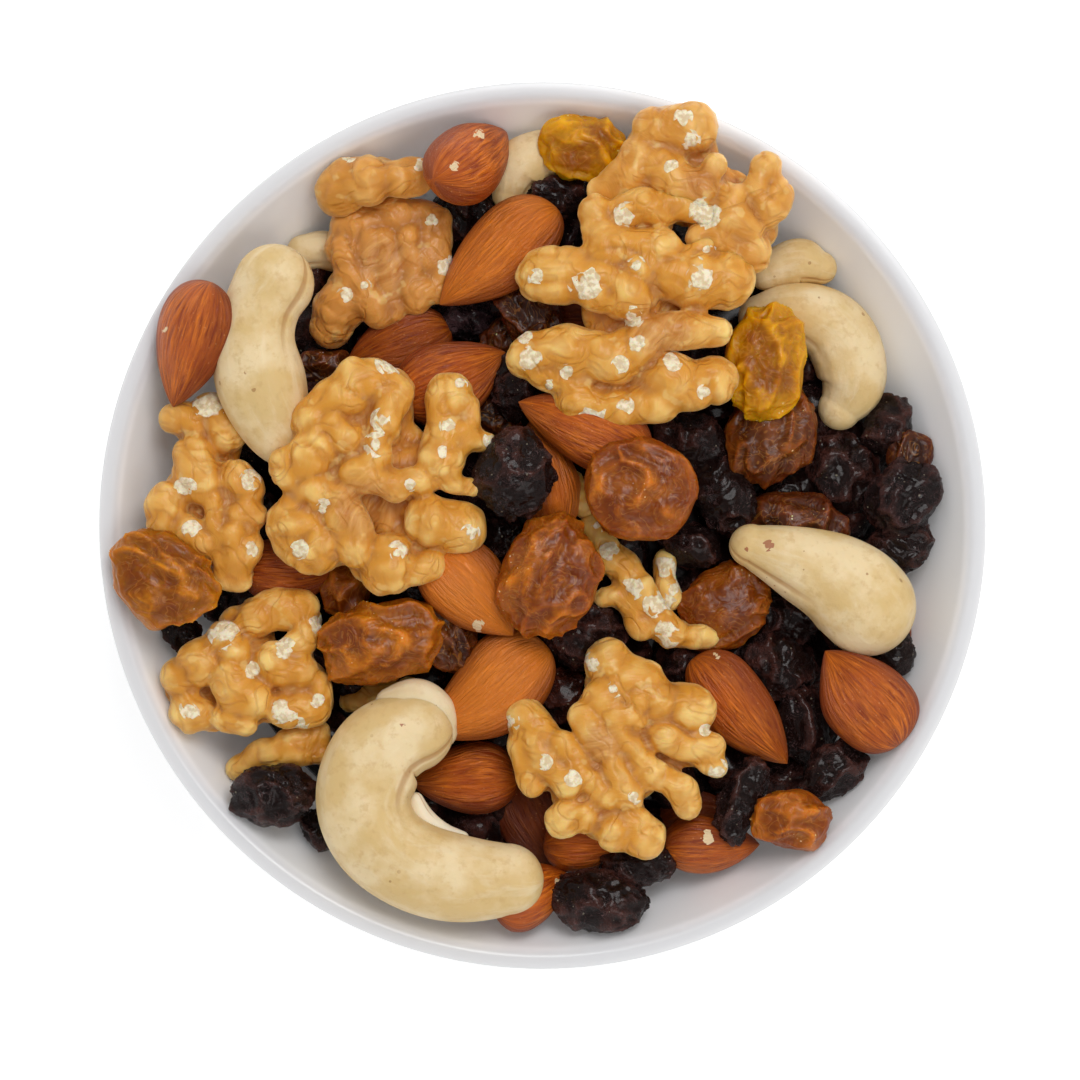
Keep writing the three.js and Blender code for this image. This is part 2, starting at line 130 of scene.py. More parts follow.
DARK_RAISINS = [
    [888, 424, -7.4, 9.0, 7.3, 6.4, 70, 0, 0, 0.0],
    [898, 550, -6.9, 10.1, 7.8, 6.7, 30, 0, 0, 0.1],
    [785, 616, -8.3, 10.1, 7.3, 6.4, -20, 0, 0, 0.0],
    [462, 318, -7.1, 8.7, 6.4, 5.9, 0, 0, 0, 0.8],
    [495, 537, -2.4, 7.6, 6.4, 5.9, 30, 0, 0, 0.0],
    [565, 695, -4.9, 8.1, 7.0, 6.2, 60, 0, 0, -0.8],
    [893, 656, -5.3, 7.6, 6.4, 5.9, 60, 0, 0, 0.0],
    [490, 822, -11.0, 7.6, 5.6, 5.3, 0, 0, 0, 0.0],
    [320, 828, -5.6, 6.7, 5.6, 5.3, -30, 0, 0, 0.0],
    [316, 274, -11.0, 5.9, 5.0, 4.8, 60, 0, 0, 0.0],
    [765, 270, -10.0, 6.4, 5.6, 5.0, -30, 0, 0, 0.0],
    [425, 600, -4.4, 7.0, 5.9, 5.3, -30, 0, 0, -0.4],
    [682, 672, -6.2, 7.6, 6.4, 5.9, 60, 0, 0, 0.0],
    [783, 776, -9.8, 7.3, 5.6, 5.0, 0, 0, 0, 0.2],
    [228, 602, -11.1, 7.0, 5.3, 5.0, 20, 0, 0, 0.0],
    [182, 634, -6.0, 5.9, 4.8, 4.5, -40, 0, 0, 0.0],
    [785, 492, -8.4, 7.0, 5.6, 5.3, 0, 0, 0, 0.0],
    [572, 234, -9.0, 8.1, 6.4, 5.9, 80, 0, 0, 0.6],
    [468, 213, -7.3, 10.4, 8.4, 7.0, -30, 0, 0, 0.3],
    [562, 197, -4.5, 10.9, 6.2, 6.2, -4, 0, 0, 0.0],
    [600, 900, -1.8, 14.6, 8.4, 7.3, -4, 0, 0, 0.2],
    [585, 635, -2.7, 11.5, 10.1, 7.6, 0, 0, 0, 0.2],
    [690, 440, -4.0, 12.3, 7.8, 6.7, -20, 0, 0, 0.1],
    [725, 495, -3.7, 11.2, 9.2, 7.3, -60, 0, 0, -0.1],
    [692, 546, -4.2, 9.0, 7.0, 6.2, -10, 0, 0, 0.2],
    [842, 475, -8.5, 12.9, 10.9, 7.8, -60, 0, 0, 0.0],
    [902, 497, -4.5, 11.5, 9.8, 7.6, 60, 0, 0, 0.4],
    [775, 665, -7.1, 11.5, 9.8, 7.3, -30, 0, 0, -0.2],
    [803, 722, -6.6, 11.5, 7.8, 6.7, -75, 0, 0, 0.1],
    [834, 771, -3.7, 10.4, 7.0, 6.4, 45, 0, 0, 0.0],
    [640, 862, -3.4, 10.9, 6.7, 6.2, 4, 0, 0, -0.3],
    [515, 385, -0.7, 10.9, 6.4, 6.2, 82, 0, 0, 0.1],
    [273, 794, -0.2, 12.0, 9.1, 7.6, 5, 0, 0, 0.3],
    [742, 802, -1.0, 12.9, 6.4, 6.2, 70, 0, 0, 0.2],
    [514, 474, 6.2, 12.9, 11.2, 8.4, 80, 0, 0, 0.0],
]
print(len(ALMONDS), "almonds,", len(GOLDEN_RAISINS), "golden and", len(DARK_RAISINS), "dark raisins")

# %% [markdown]
# A cashew is a middle line: its height over the rim, then plan x, plan y, radius and lift for each
# point. A walnut half is a list of lobes: its height, its tone, then two plan points and a radius.

# %% Cashews and walnuts
CASHEWS = [
    [-8.8, [[304, 252, 2.5, 0], [325, 250, 2.8, 0], [350, 258, 2.4, 0]]],
    [-5.5, [[510, 195, 2.5, 0], [518, 170, 4.1, 0], [545, 155, 3.8, 0], [575, 150, 2.8, 0]]],
    [-6.2, [[820, 268, 2.4, 0], [798, 262, 3.4, 0], [766, 272, 2.6, 0]]],
    [-6.2, [[762, 318, 3.4, 0.5], [795, 311, 4.3, 1], [832, 326, 5.2, 0], [850, 358, 5.2, -0.6],
            [852, 388, 4.8, -0.8], [840, 408, 3.1, -0.8]]],
    [-1.3, [[751, 546, 3.1, 1.2], [790, 560, 5.0, 0.6], [828, 575, 6.2, 0], [852, 591, 7.0, -0.6],
            [866, 606, 7.1, -1]]],
    [3.0, [[274, 284, 5.6, -0.2], [262, 306, 5.4, 0], [254, 342, 5.8, 0.6], [261, 385, 6.4, 0.4],
           [276, 428, 5.0, -0.6], [290, 448, 3.6, -1.4]]],
    [2.6, [[413, 732, 5.7, -0.6], [382, 745, 6.7, 0], [361, 793, 6.8, 0.4], [375, 838, 6.5, 0.4],
           [412, 867, 6.3, 0], [459, 881, 6.2, -0.4], [508, 880, 5.0, -1]]],
]
WALNUTS = [
    [-4.3, 0.1, [[574, 482, 580, 500, 1.4], [580, 500, 590, 512, 1.4]]],
    [-9.0, 0.2, [[352, 700, 398, 692, 2.0], [398, 692, 420, 680, 1.7]]],
    [-1.8, -0.2, [[340, 185, 368, 178, 3.5], [395, 177, 416, 180, 2.7]]],
    [-5.2, 0.2, [[238, 766, 290, 747, 2.1], [290, 742, 318, 736, 2.4], [298, 753, 322, 752, 1.9]]],
    [-1.0, 0.0, [[176, 415, 196, 425, 2.2], [216, 412, 226, 432, 2.8], [196, 455, 202, 482, 3.2],
     [170, 498, 166, 520, 2.8], [236, 478, 250, 488, 2.5], [190, 528, 202, 545, 2.1],
     [236, 535, 240, 560, 3.1], [240, 512, 256, 516, 2.1], [222, 575, 240, 580, 1.7],
     [214, 500, 220, 560, 1.6]]],
    [2.6, -0.1, [[655, 132, 693, 130, 3.5], [642, 160, 618, 180, 3.2], [660, 172, 700, 186, 3.1],
     [766, 168, 756, 195, 2.2], [768, 196, 766, 208, 3.1], [730, 205, 742, 230, 3.1],
     [750, 250, 736, 256, 2.7], [716, 168, 698, 192, 1.7], [700, 238, 728, 244, 2.1],
     [600, 190, 640, 200, 2.0]]],
    [-3.0, 0.2, [[606, 552, 640, 590, 2.4], [640, 590, 668, 634, 2.5], [590, 528, 608, 552, 1.8],
     [626, 602, 642, 626, 2.1], [692, 634, 706, 640, 1.7], [604, 596, 616, 594, 1.5]]],
    [-5.7, -0.5, [[352, 225, 398, 217, 2.9], [398, 217, 436, 220, 2.5], [440, 232, 438, 275, 2.0],
     [346, 250, 352, 276, 2.7], [370, 242, 366, 300, 2.0], [332, 325, 346, 302, 3.5],
     [388, 240, 390, 312, 2.1], [408, 240, 416, 300, 2.2], [424, 236, 430, 262, 1.8],
     [366, 300, 382, 312, 2.5], [412, 285, 440, 288, 2.2]]],
    [-1.2, 0.2, [[254, 614, 300, 610, 2.9], [224, 636, 236, 652, 2.5], [310, 634, 300, 646, 2.1],
     [180, 672, 202, 660, 3.1], [186, 706, 198, 716, 2.7], [232, 680, 252, 700, 3.1],
     [272, 664, 300, 672, 2.5], [286, 706, 312, 706, 2.9], [320, 684, 322, 696, 2.0],
     [226, 720, 246, 724, 1.8]]],
    [4.2, 0.2, [[545, 278, 600, 283, 3.9], [600, 283, 630, 290, 3.6], [530, 352, 590, 360, 3.5],
     [590, 360, 640, 350, 3.4], [605, 252, 660, 256, 3.1], [592, 212, 602, 235, 2.4],
     [622, 212, 665, 206, 2.5], [665, 206, 705, 212, 2.1], [690, 280, 724, 284, 4.1],
     [640, 272, 690, 280, 3.4], [650, 330, 716, 335, 2.4], [665, 385, 714, 384, 3.6],
     [575, 400, 620, 406, 2.8], [640, 402, 662, 404, 2.8], [540, 375, 582, 388, 2.1],
     [705, 247, 688, 256, 1.5]]],
    [4.2, 0.1, [[310, 415, 356, 388, 3.5], [356, 384, 392, 388, 3.5], [397, 395, 386, 425, 2.5],
     [454, 398, 438, 462, 3.2], [468, 408, 462, 440, 2.0], [455, 447, 487, 440, 1.6],
     [450, 482, 474, 484, 1.4], [430, 522, 462, 527, 3.5], [384, 572, 394, 560, 3.5],
     [400, 576, 430, 562, 2.1], [296, 530, 312, 545, 4.6], [292, 464, 318, 458, 3.5],
     [314, 420, 322, 442, 2.1], [356, 474, 396, 486, 2.5], [346, 515, 354, 548, 2.8],
     [380, 443, 374, 470, 2.1], [405, 482, 438, 472, 2.0], [316, 490, 340, 500, 2.8],
     [334, 424, 350, 438, 2.4]]],
    [1.5, 0.3, [[524, 715, 545, 758, 2.9], [545, 760, 570, 778, 2.4], [518, 745, 530, 785, 1.8],
     [606, 668, 640, 690, 3.9], [600, 695, 630, 722, 2.4], [640, 690, 688, 714, 3.5],
     [662, 735, 708, 752, 2.4], [700, 756, 716, 766, 1.8], [584, 716, 630, 790, 2.1],
     [610, 712, 654, 778, 1.9], [645, 770, 656, 772, 2.1], [672, 780, 690, 803, 2.2],
     [562, 815, 586, 816, 2.5], [616, 826, 645, 833, 3.1], [612, 795, 632, 800, 1.5],
     [562, 742, 604, 800, 1.9]]],
    [-4.0, 0.3, [[662, 560, 672, 598, 1.7]]],
]
# Bare pale patches on the walnuts' ridges: plan x, plan y and radius.
BARE = [
    [348, 155, 0.9], [420, 165, 0.7], [430, 220, 1.0], [445, 265, 1.2], [345, 295, 0.9],
    [365, 285, 0.8], [390, 362, 1.6], [382, 420, 1.3], [375, 445, 1.4], [460, 383, 0.9],
    [448, 425, 1.0], [443, 452, 0.7], [491, 440, 0.9], [470, 533, 1.1], [398, 552, 1.2],
    [323, 507, 0.9], [300, 550, 1.1], [410, 485, 0.8], [585, 283, 1.9], [700, 278, 1.7],
    [636, 266, 1.2], [632, 318, 1.3], [637, 342, 1.3], [674, 362, 1.2], [620, 365, 1.0],
    [568, 372, 0.9], [530, 359, 1.4], [536, 278, 1.0], [524, 336, 0.9], [550, 385, 0.7],
    [595, 424, 2.0], [705, 392, 0.9], [625, 406, 1.0], [683, 118, 1.1], [690, 140, 1.2],
    [672, 167, 0.9], [627, 215, 1.5], [705, 213, 1.8], [706, 250, 1.2], [597, 525, 1.0],
    [610, 550, 1.1], [632, 588, 1.3], [657, 605, 1.5], [670, 632, 1.7], [210, 405, 1.8],
    [185, 490, 1.4], [192, 530, 1.1], [250, 480, 1.2], [250, 550, 1.1], [225, 635, 1.9],
    [318, 625, 1.1], [285, 650, 1.4], [252, 670, 1.0], [280, 710, 1.5], [300, 722, 1.0],
    [318, 700, 0.9], [190, 712, 1.3], [592, 662, 1.1], [613, 690, 1.0], [718, 772, 1.4],
    [705, 730, 0.7], [510, 722, 1.1], [545, 762, 0.9], [572, 780, 1.1], [635, 797, 1.1],
    [665, 568, 1.6], [673, 590, 1.3],
]
# Fibrous brown middles of the walnuts: plan x, plan y and radius.
FIBRES = [[662, 330, 6.0], [700, 182, 3.5], [385, 262, 5.0], [364, 508, 6.0], [602, 742, 3.5]]
print(len(CASHEWS), "cashews,", len(WALNUTS), "walnut halves,", len(BARE), "bare patches")

# %% [markdown]
# ## Helpers
# Natural surfaces need noise that is smooth and repeatable. Every whole-number point of space gets
# a fixed value, and between those points the values are blended with a smooth step. All points go
# through numpy at once, so there is no loop over vertices.

# %% Noise
def lattice(x, y, z, seed):
    """A repeatable value from -1 to 1 for whole-number points, by mixing their bits."""
    mixed = (x.astype(np.uint32) * np.uint32(374761393) + y.astype(np.uint32) * np.uint32(668265263)
             + z.astype(np.uint32) * np.uint32(2246822519) + np.uint32(seed * 40503 + 17))
    mixed = (mixed ^ (mixed >> np.uint32(13))) * np.uint32(1274126177)
    mixed = (mixed ^ (mixed >> np.uint32(16))) * np.uint32(2654435761)
    mixed = mixed ^ (mixed >> np.uint32(15))
    return mixed / 2147483648.0 - 1.0


def noise(points, seed):
    """Smooth noise from -1 to 1: the eight corner values of each point's unit cell, blended by
    the smooth step 3f^2 - 2f^3 along each axis."""
    cell = np.floor(points).astype(np.int64)
    part = points - cell
    part = part * part * (3 - 2 * part)
    total = 0
    for dx in (0, 1):
        for dy in (0, 1):
            for dz in (0, 1):
                value = lattice(cell[..., 0] + dx, cell[..., 1] + dy, cell[..., 2] + dz, seed)
                share = (part[..., 0] if dx else 1 - part[..., 0])
                share = share * (part[..., 1] if dy else 1 - part[..., 1])
                total = total + value * share * (part[..., 2] if dz else 1 - part[..., 2])
    return total


def folds(points, seed):
    """Ridges from 0 to 1: one less twice the size of the noise, so that its zero lines are sharp crests."""
    return 1 - np.minimum(1, 2.2 * np.abs(noise(points, seed)))


def warp(points, amount, seed):
    """The points moved by noise of their own, which bends straight ridges."""
    return points + amount * np.stack([noise(points + 31.7 * k, seed + k) for k in range(3)], axis=-1)


# %% [markdown]
# Most pieces are rings of points around a line, closed at both ends by a single point. `Pile`
# gathers such shapes, with one value per vertex for each named attribute, and makes one mesh of
# them. Its faces are turned so that each shape's volume is positive, which points them outwards.

# %% Piles of closed shapes
def smooth_path(points, count):
    """A Catmull-Rom curve through the points: four neighbours blended by cubic weights."""
    padded = np.concatenate([[2 * points[0] - points[1]], points, [2 * points[-1] - points[-2]]])
    t = np.linspace(0, len(points) - 1 - 1e-9, count)
    i = t.astype(int)
    f = (t - i)[:, None]
    a, b, c, d = padded[i], padded[i + 1], padded[i + 2], padded[i + 3]
    square = (2 * a - 5 * b + 4 * c - d) * f ** 2
    return 0.5 * (2 * b + (c - a) * f + square + (3 * b - a - 3 * c + d) * f ** 3)


def turn_matrix(heading, pitch, roll):
    """Roll about X, then pitch about Y, then heading about Z, in degrees."""
    h, p, r = np.radians([heading, pitch, roll])
    about_z = np.array([[np.cos(h), -np.sin(h), 0], [np.sin(h), np.cos(h), 0], [0, 0, 1]])
    about_y = np.array([[np.cos(p), 0, np.sin(p)], [0, 1, 0], [-np.sin(p), 0, np.cos(p)]])
    about_x = np.array([[1, 0, 0], [0, np.cos(r), -np.sin(r)], [0, np.sin(r), np.cos(r)]])
    return about_z @ about_y @ about_x


def unit_rings(rows, sides):
    """Unit vectors in rings about the X axis, at polar angles evenly between the poles."""
    polar = np.linspace(0, np.pi, rows + 2)[1:-1, None]
    around = np.linspace(0, 2 * np.pi, sides, endpoint=False)[None, :]
    return np.stack([-np.cos(polar) + 0 * around, np.sin(polar) * np.cos(around),
                     np.sin(polar) * np.sin(around)], axis=-1)


def ring_faces(rows, sides):
    """Quads between neighbouring rings, and triangles from the end points: the first end point
    is numbered rows * sides and the last one is the next."""
    row = np.arange(rows - 1)[:, None] * sides
    col = np.arange(sides)[None, :]
    nxt = (col + 1) % sides
    quads = np.stack([row + col, row + nxt, row + sides + nxt, row + sides + col], axis=-1).reshape(-1, 4)
    col = col[0]
    nxt = nxt[0]
    last = (rows - 1) * sides
    first_fan = np.stack([np.full(sides, rows * sides), nxt, col], axis=-1)
    last_fan = np.stack([np.full(sides, rows * sides + 1), last + col, last + nxt], axis=-1)
    return quads, np.concatenate([first_fan, last_fan])


def volume(points, quads, tris):
    """Signed volume: a sixth of the triple product of each triangle's corners, summed."""
    fans = np.concatenate([tris, quads[:, [0, 1, 2]], quads[:, [0, 2, 3]]])
    a, b, c = points[fans[:, 0]], points[fans[:, 1]], points[fans[:, 2]]
    return float(np.sum(a * np.cross(b, c)) / 6)


def keep_inside(points):
    """Moves points below the rim that would cross the bowl's inner face straight in towards the
    axis: their distance from it is at most the face's radius at their height, less a little."""
    radius, height = bowl_curve(RIM_INNER, INNER_DEPTH, np.linspace(0, np.pi / 2, 400))
    away = np.hypot(points[:, 0], points[:, 1])
    limit = np.interp(points[:, 2], height, radius) - WALL_GAP
    limit = np.where(points[:, 2] > RIM_HEIGHT + 0.2, away + 1, np.maximum(limit, 1))
    share = np.minimum(1, limit / np.maximum(away, 1e-9))
    return np.column_stack([points[:, 0] * share, points[:, 1] * share, points[:, 2]])


class Pile:
    """Closed shapes gathered into the arrays of one mesh."""

    def __init__(self):
        self.points, self.quads, self.tris, self.values = [], [], [], []
        self.count = 0

    def add(self, points, quads, tris, **values):
        """Adds one closed shape, with a value or an array of values for each attribute."""
        if volume(points, quads, tris) < 0:
            quads, tris = quads[:, ::-1], tris[:, ::-1]
        self.points.append(points)
        self.quads.append(quads + self.count)
        self.tris.append(tris + self.count)
        whole = {}
        for key, value in values.items():
            value = np.asarray(value, dtype=float)
            whole[key] = value if value.ndim and len(value) == len(points) else np.broadcast_to(
                value, (len(points),) + value.shape)
        self.values.append(whole)
        self.count += len(points)

    def add_rings(self, rings, first, last, **values):
        """Adds rings of points (rows, sides, 3) closed by two end points. Attributes given per
        ring point get the mean of the nearest ring at the ends."""
        rows, sides = rings.shape[:2]
        quads, tris = ring_faces(rows, sides)
        whole = {}
        for key, value in values.items():
            value = np.asarray(value, dtype=float)
            if value.shape[:2] == (rows, sides):
                flat = value.reshape((rows * sides,) + value.shape[2:])
                ends = np.stack([value[0].mean(axis=0), value[-1].mean(axis=0)])
                value = np.concatenate([flat, ends])
            whole[key] = value
        points = np.concatenate([rings.reshape(-1, 3), [first], [last]])
        self.add(points, quads, tris, **whole)

    def build(self, name, material, node=None):
        """Makes the mesh in metres, with smooth shading, and puts it on the frame. All but the
        bowl itself is kept inside the bowl."""
        points = np.concatenate(self.points)
        points = (points if node == "bowl" else keep_inside(points)) * MM
        mesh = bpy.data.meshes.new(name)
        faces = np.concatenate(self.quads).tolist() + np.concatenate(self.tris).tolist()
        mesh.from_pydata(points.tolist(), [], faces)
        for key in self.values[0]:
            data = np.concatenate([part[key] for part in self.values])
            kind = "FLOAT_VECTOR" if data.ndim == 2 else "FLOAT"
            layer = mesh.attributes.new(key, kind, "POINT")
            layer.data.foreach_set("vector" if data.ndim == 2 else "value", data.astype(np.float32).ravel())
        mesh.polygons.foreach_set("use_smooth", np.ones(len(mesh.polygons), dtype=bool))
        mesh.materials.append(material)
        piece = bpy.data.objects.new(name, mesh)
        bpy.context.scene.collection.objects.link(piece)
        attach(piece, "root")
        if node:
            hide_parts(node)
        corners = sum(len(face) - 2 for face in faces)
        print(name, len(self.points), "shapes,", corners, "triangles,",
              np.round(points.min(axis=0) / MM, 1), "to", np.round(points.max(axis=0) / MM, 1))
        return piece


print("one unit of noise", np.round(noise(np.array([[0.5, 0.2, 0.7]]), 1), 3))

# %% [markdown]
# ## Materials
# Patterns that several foods share are node groups with named inputs and outputs. *Dots* makes
# sparse round specks, *Ragged* turns a soft mask into a patch with a torn edge, and *Streaks*
# makes long broken lines along a piece. The shaders themselves stay in each material.

# %% Node groups
def group(name, inputs, outputs):
    """A new shader node group with float, colour and vector sockets of the given names."""
    tree = bpy.data.node_groups.new(name, "ShaderNodeTree")
    kinds = {"float": "NodeSocketFloat", "color": "NodeSocketColor", "vector": "NodeSocketVector"}
    for label, kind, start in inputs:
        socket = tree.interface.new_socket(label, in_out="INPUT", socket_type=kinds[kind])
        if kind == "float":
            socket.default_value = start
    for label, kind in outputs:
        tree.interface.new_socket(label, in_out="OUTPUT", socket_type=kinds[kind])
    return tree, tree.nodes.new("NodeGroupInput"), tree.nodes.new("NodeGroupOutput")


def feed(tree, socket, value):
    """Links a socket to another one, or sets its value."""
    if isinstance(value, bpy.types.NodeSocket):
        tree.links.new(value, socket)
    else:
        socket.default_value = value


def add(tree, kind, **inputs):
    """A node with its inputs fed. Inputs are named by their label, or by i0, i1 and so on for
    their place. Other settings start with set_ and come first, as they can change the inputs."""
    made = tree.nodes.new(kind)
    for key, value in inputs.items():
        if key.startswith("set_"):
            setattr(made, key[4:], value)
    for key, value in inputs.items():
        if not key.startswith("set_"):
            place = int(key[1:]) if key[0] == "i" and key[1:].isdigit() else key.replace("_", " ")
            feed(tree, made.inputs[place], value)
    return made


def maths(tree, operation, first, second=0.0, third=0.5, clamp=False):
    """One math node's output."""
    return add(tree, "ShaderNodeMath", set_operation=operation, set_use_clamp=clamp,
               i0=first, i1=second, i2=third).outputs[0]


def off_middle(tree, value):
    """How far a noise value is from its middle, one half: 0 along winding lines."""
    return maths(tree, "ABSOLUTE", maths(tree, "SUBTRACT", value, 0.5))


def cloud(tree, spot, scale, detail=2.0, **more):
    """A noise texture's value at a place."""
    return add(tree, "ShaderNodeTexNoise", Vector=spot, Scale=scale, Detail=detail, **more).outputs[0]


def blend(tree, share, first, second, most=1.0):
    """Two colours mixed by a share, of which at most a part is used."""
    if most < 1:
        share = maths(tree, "MULTIPLY", share, most)
    return add(tree, "ShaderNodeMix", set_data_type="RGBA", i0=share, i6=first, i7=second).outputs[2]


def step(tree, value, low, high):
    """0 below low, 1 above high and a smooth step between."""
    made = add(tree, "ShaderNodeMapRange", set_interpolation_type="SMOOTHSTEP", i0=value, i1=low, i2=high)
    return made.outputs[0]


def srgb(red, green, blue):
    """A colour as a screen shows it, 0 to 255, made linear for the shader."""
    c = np.array([red, green, blue]) / 255.0
    linear = np.where(c <= 0.04045, c / 12.92, ((c + 0.055) / 1.055) ** 2.4)
    return (*[float(v) for v in linear], 1.0)


dots_tree, given, out = group("Dots", [("Vector", "vector", 0), ("Scale", "float", 1.0),
                                       ("Share", "float", 0.1), ("Size", "float", 0.2)], [("Mask", "float")])
cells = add(dots_tree, "ShaderNodeTexVoronoi", Vector=given.outputs[0], Scale=given.outputs[1])
value = add(dots_tree, "ShaderNodeSeparateColor", i0=cells.outputs["Color"])
chosen = maths(dots_tree, "LESS_THAN", value.outputs[0], given.outputs[2])
wobble = add(dots_tree, "ShaderNodeTexNoise", Vector=given.outputs[0], Scale=given.outputs[1])
size = maths(dots_tree, "ADD", wobble.outputs[0], value.outputs[1])
size = maths(dots_tree, "MULTIPLY", given.outputs[3], size)
near = maths(dots_tree, "LESS_THAN", cells.outputs["Distance"], size)
dots_tree.links.new(maths(dots_tree, "MULTIPLY", chosen, near), out.inputs[0])

ragged_tree, given, out = group(
    "Ragged", [("Vector", "vector", 0), ("Soft mask", "float", 0.0), ("Scale", "float", 1.0),
               ("Tear", "float", 0.5)], [("Mask", "float")])
bent = add(ragged_tree, "ShaderNodeTexNoise", Vector=given.outputs[0], Scale=given.outputs[2], Detail=2.0)
moved = add(ragged_tree, "ShaderNodeVectorMath", set_operation="SCALE", i0=bent.outputs["Color"],
            Scale=0.0004)
moved = add(ragged_tree, "ShaderNodeVectorMath", set_operation="ADD", i0=given.outputs[0],
            i1=moved.outputs[0])
flakes = add(ragged_tree, "ShaderNodeTexVoronoi", Vector=moved.outputs[0], Scale=given.outputs[2])
value = add(ragged_tree, "ShaderNodeSeparateColor", i0=flakes.outputs["Color"])
uneven = maths(ragged_tree, "SUBTRACT", maths(ragged_tree, "ADD", value.outputs[0], bent.outputs[0]), 1.0)
within = maths(ragged_tree, "MULTIPLY", given.outputs[1], 4.0, clamp=True)
tear = maths(ragged_tree, "MULTIPLY", maths(ragged_tree, "MULTIPLY", uneven, given.outputs[3]), within)
torn = maths(ragged_tree, "ADD", given.outputs[1], tear)
ragged_tree.links.new(step(ragged_tree, torn, 0.32, 0.42), out.inputs[0])

streaks_tree, given, out = group("Streaks", [("Vector", "vector", 0), ("Scale", "float", 1.0),
                                             ("Sharpness", "float", 1.0)], [("Lines", "float")])
lines = add(streaks_tree, "ShaderNodeTexNoise", Vector=given.outputs[0], Scale=given.outputs[1], Detail=4.0,
            Roughness=0.6, Distortion=0.4)
raised = maths(streaks_tree, "MULTIPLY_ADD", maths(streaks_tree, "SUBTRACT", lines.outputs[0], 0.5),
               given.outputs[2], 0.5, clamp=True)
streaks_tree.links.new(raised, out.inputs[0])
print("groups", [tree.name for tree in bpy.data.node_groups])


# %% Material helpers
def material(name):
    """A new material: itself, its tree and its Principled shader."""
    made = bpy.data.materials.new(name)
    made.use_nodes = True
    return made, made.node_tree, made.node_tree.nodes["Principled BSDF"]


def use(tree, shared, **inputs):
    """A shared group's output in a material."""
    return add(tree, "ShaderNodeGroup", set_node_tree=shared, **inputs).outputs[0]


def named(tree, label, output="Fac"):
    """A mesh attribute's value."""
    return add(tree, "ShaderNodeAttribute", set_attribute_name=label).outputs[output]


def bump(tree, shader, height, distance, strength=1.0):
    """A bump node between a height and the shader's normal."""
    made = add(tree, "ShaderNodeBump", Height=height, Distance=distance, Strength=strength)
    tree.links.new(made.outputs[0], shader.inputs["Normal"])


def finish_sockets(tree, shader, **inputs):
    """Sets or links the shader's own sockets by name."""
    for key, value in inputs.items():
        feed(tree, shader.inputs[key.replace("_", " ")], value)


print("material helpers ready")

# %% [markdown]
# ### The looks of each food
# Each material starts from a few colours seen on the food and picks between them by the mesh's
# own values: `crest` is high on ridges and low in creases, `tone` is one number per piece, and
# `grain` holds coordinates that run along a piece, so that its streaks follow it. Where `crest` or
# `side` picks a lighter or darker colour, that is painted light and shade: lighter ridges, darker
# creases, and a paler or darker band where a surface turns steeply away from the top.

# %% Glaze
# The outside and the rim are a touch greyer than the inside, so that they don't burn out.
glaze, tree, shader = material("white_glaze")
lip = named(tree, "lip")
finish_sockets(tree, shader, Base_Color=blend(tree, lip, srgb(246, 246, 249), srgb(222, 222, 224)),
               Roughness=0.2, Specular_IOR_Level=0.4,
               Subsurface_Weight=0.5, Subsurface_Scale=0.003, Subsurface_Radius=(1.0, 1.0, 1.0))

# %% Walnut
walnut_skin, tree, shader = material("walnut_skin")
spot = add(tree, "ShaderNodeTexCoord").outputs["Object"]
grain = named(tree, "grain", "Vector")
crest = named(tree, "crest")
tone = named(tree, "tone")
broad = cloud(tree, spot, 200.0, 3.0)
fine = cloud(tree, spot, 1300.0, 3.0)
# Painted light and shade: `height` is broad noise plus the crests, so creases take a painted dark brown and
# ridge tops a painted pale cream; `warm` does the same for the warmer pieces.
height = maths(tree, "MULTIPLY_ADD", maths(tree, "SUBTRACT", broad, 0.5), 2.0, crest)
skin = blend(tree, step(tree, height, -1.3, 0.2), srgb(142, 70, 4), srgb(222, 154, 56))
skin = blend(tree, step(tree, height, 0.1, 1.3), skin, srgb(250, 212, 128))
warm = blend(tree, step(tree, height, -1.2, 0.8), srgb(152, 84, 22), srgb(226, 158, 76))
skin = blend(tree, step(tree, tone, 0.15, -0.5), skin, warm)
lines = use(tree, streaks_tree, Vector=grain, Scale=1.0, Sharpness=2.6)
husk = blend(tree, lines, srgb(176, 100, 30), srgb(230, 176, 108))
low = step(tree, crest, 0.3, -0.9)
fibre = maths(tree, "MAXIMUM", named(tree, "fibre"), maths(tree, "MULTIPLY", low, 0.55))
skin = blend(tree, step(tree, fibre, 0.0, 0.6), skin, husk, 0.7)
# Painted highlights: pale spots from noise stand in for glints of light on the skin.
painted_glint = step(tree, cloud(tree, spot, 420.0, 2.0), 0.60, 0.70)
skin = blend(tree, painted_glint, skin, srgb(246, 216, 140), 0.4)
# Painted sheen: the lobes' steep sides are paler, a rim of light round each lobe.
side = named(tree, "side")
skin = blend(tree, step(tree, side, 0.55, 0.85), skin, srgb(244, 212, 146), 0.4)
bent = cloud(tree, spot, 230.0, 1.0, Distortion=1.0)
crease = step(tree, off_middle(tree, bent), 0.0, 0.10)
skin = blend(tree, maths(tree, "SUBTRACT", 1.0, crease), skin, srgb(176, 98, 24), 0.22)
bare = use(tree, ragged_tree, Vector=spot, Soft_mask=named(tree, "bare"), Scale=540.0, Tear=0.75)
flesh = blend(tree, step(tree, fine, 0.40, 0.60), srgb(224, 202, 162), srgb(250, 238, 208))
finish_sockets(tree, shader, Base_Color=blend(tree, bare, skin, flesh), Subsurface_Weight=0.35,
               Subsurface_Scale=0.0012, Subsurface_Radius=(1.0, 0.5, 0.15), Specular_IOR_Level=0.3,
               Roughness=maths(tree, "MULTIPLY_ADD", bare, 0.3, 0.30))
grit = maths(tree, "MULTIPLY", fine, 0.8)
grit = maths(tree, "MULTIPLY_ADD", bare, grit, maths(tree, "MULTIPLY", lines, 0.35))
grit = maths(tree, "MULTIPLY_ADD", crease, 0.5, grit)
bump(tree, shader, maths(tree, "MULTIPLY_ADD", fine, 0.15, grit), 0.0004, 0.6)

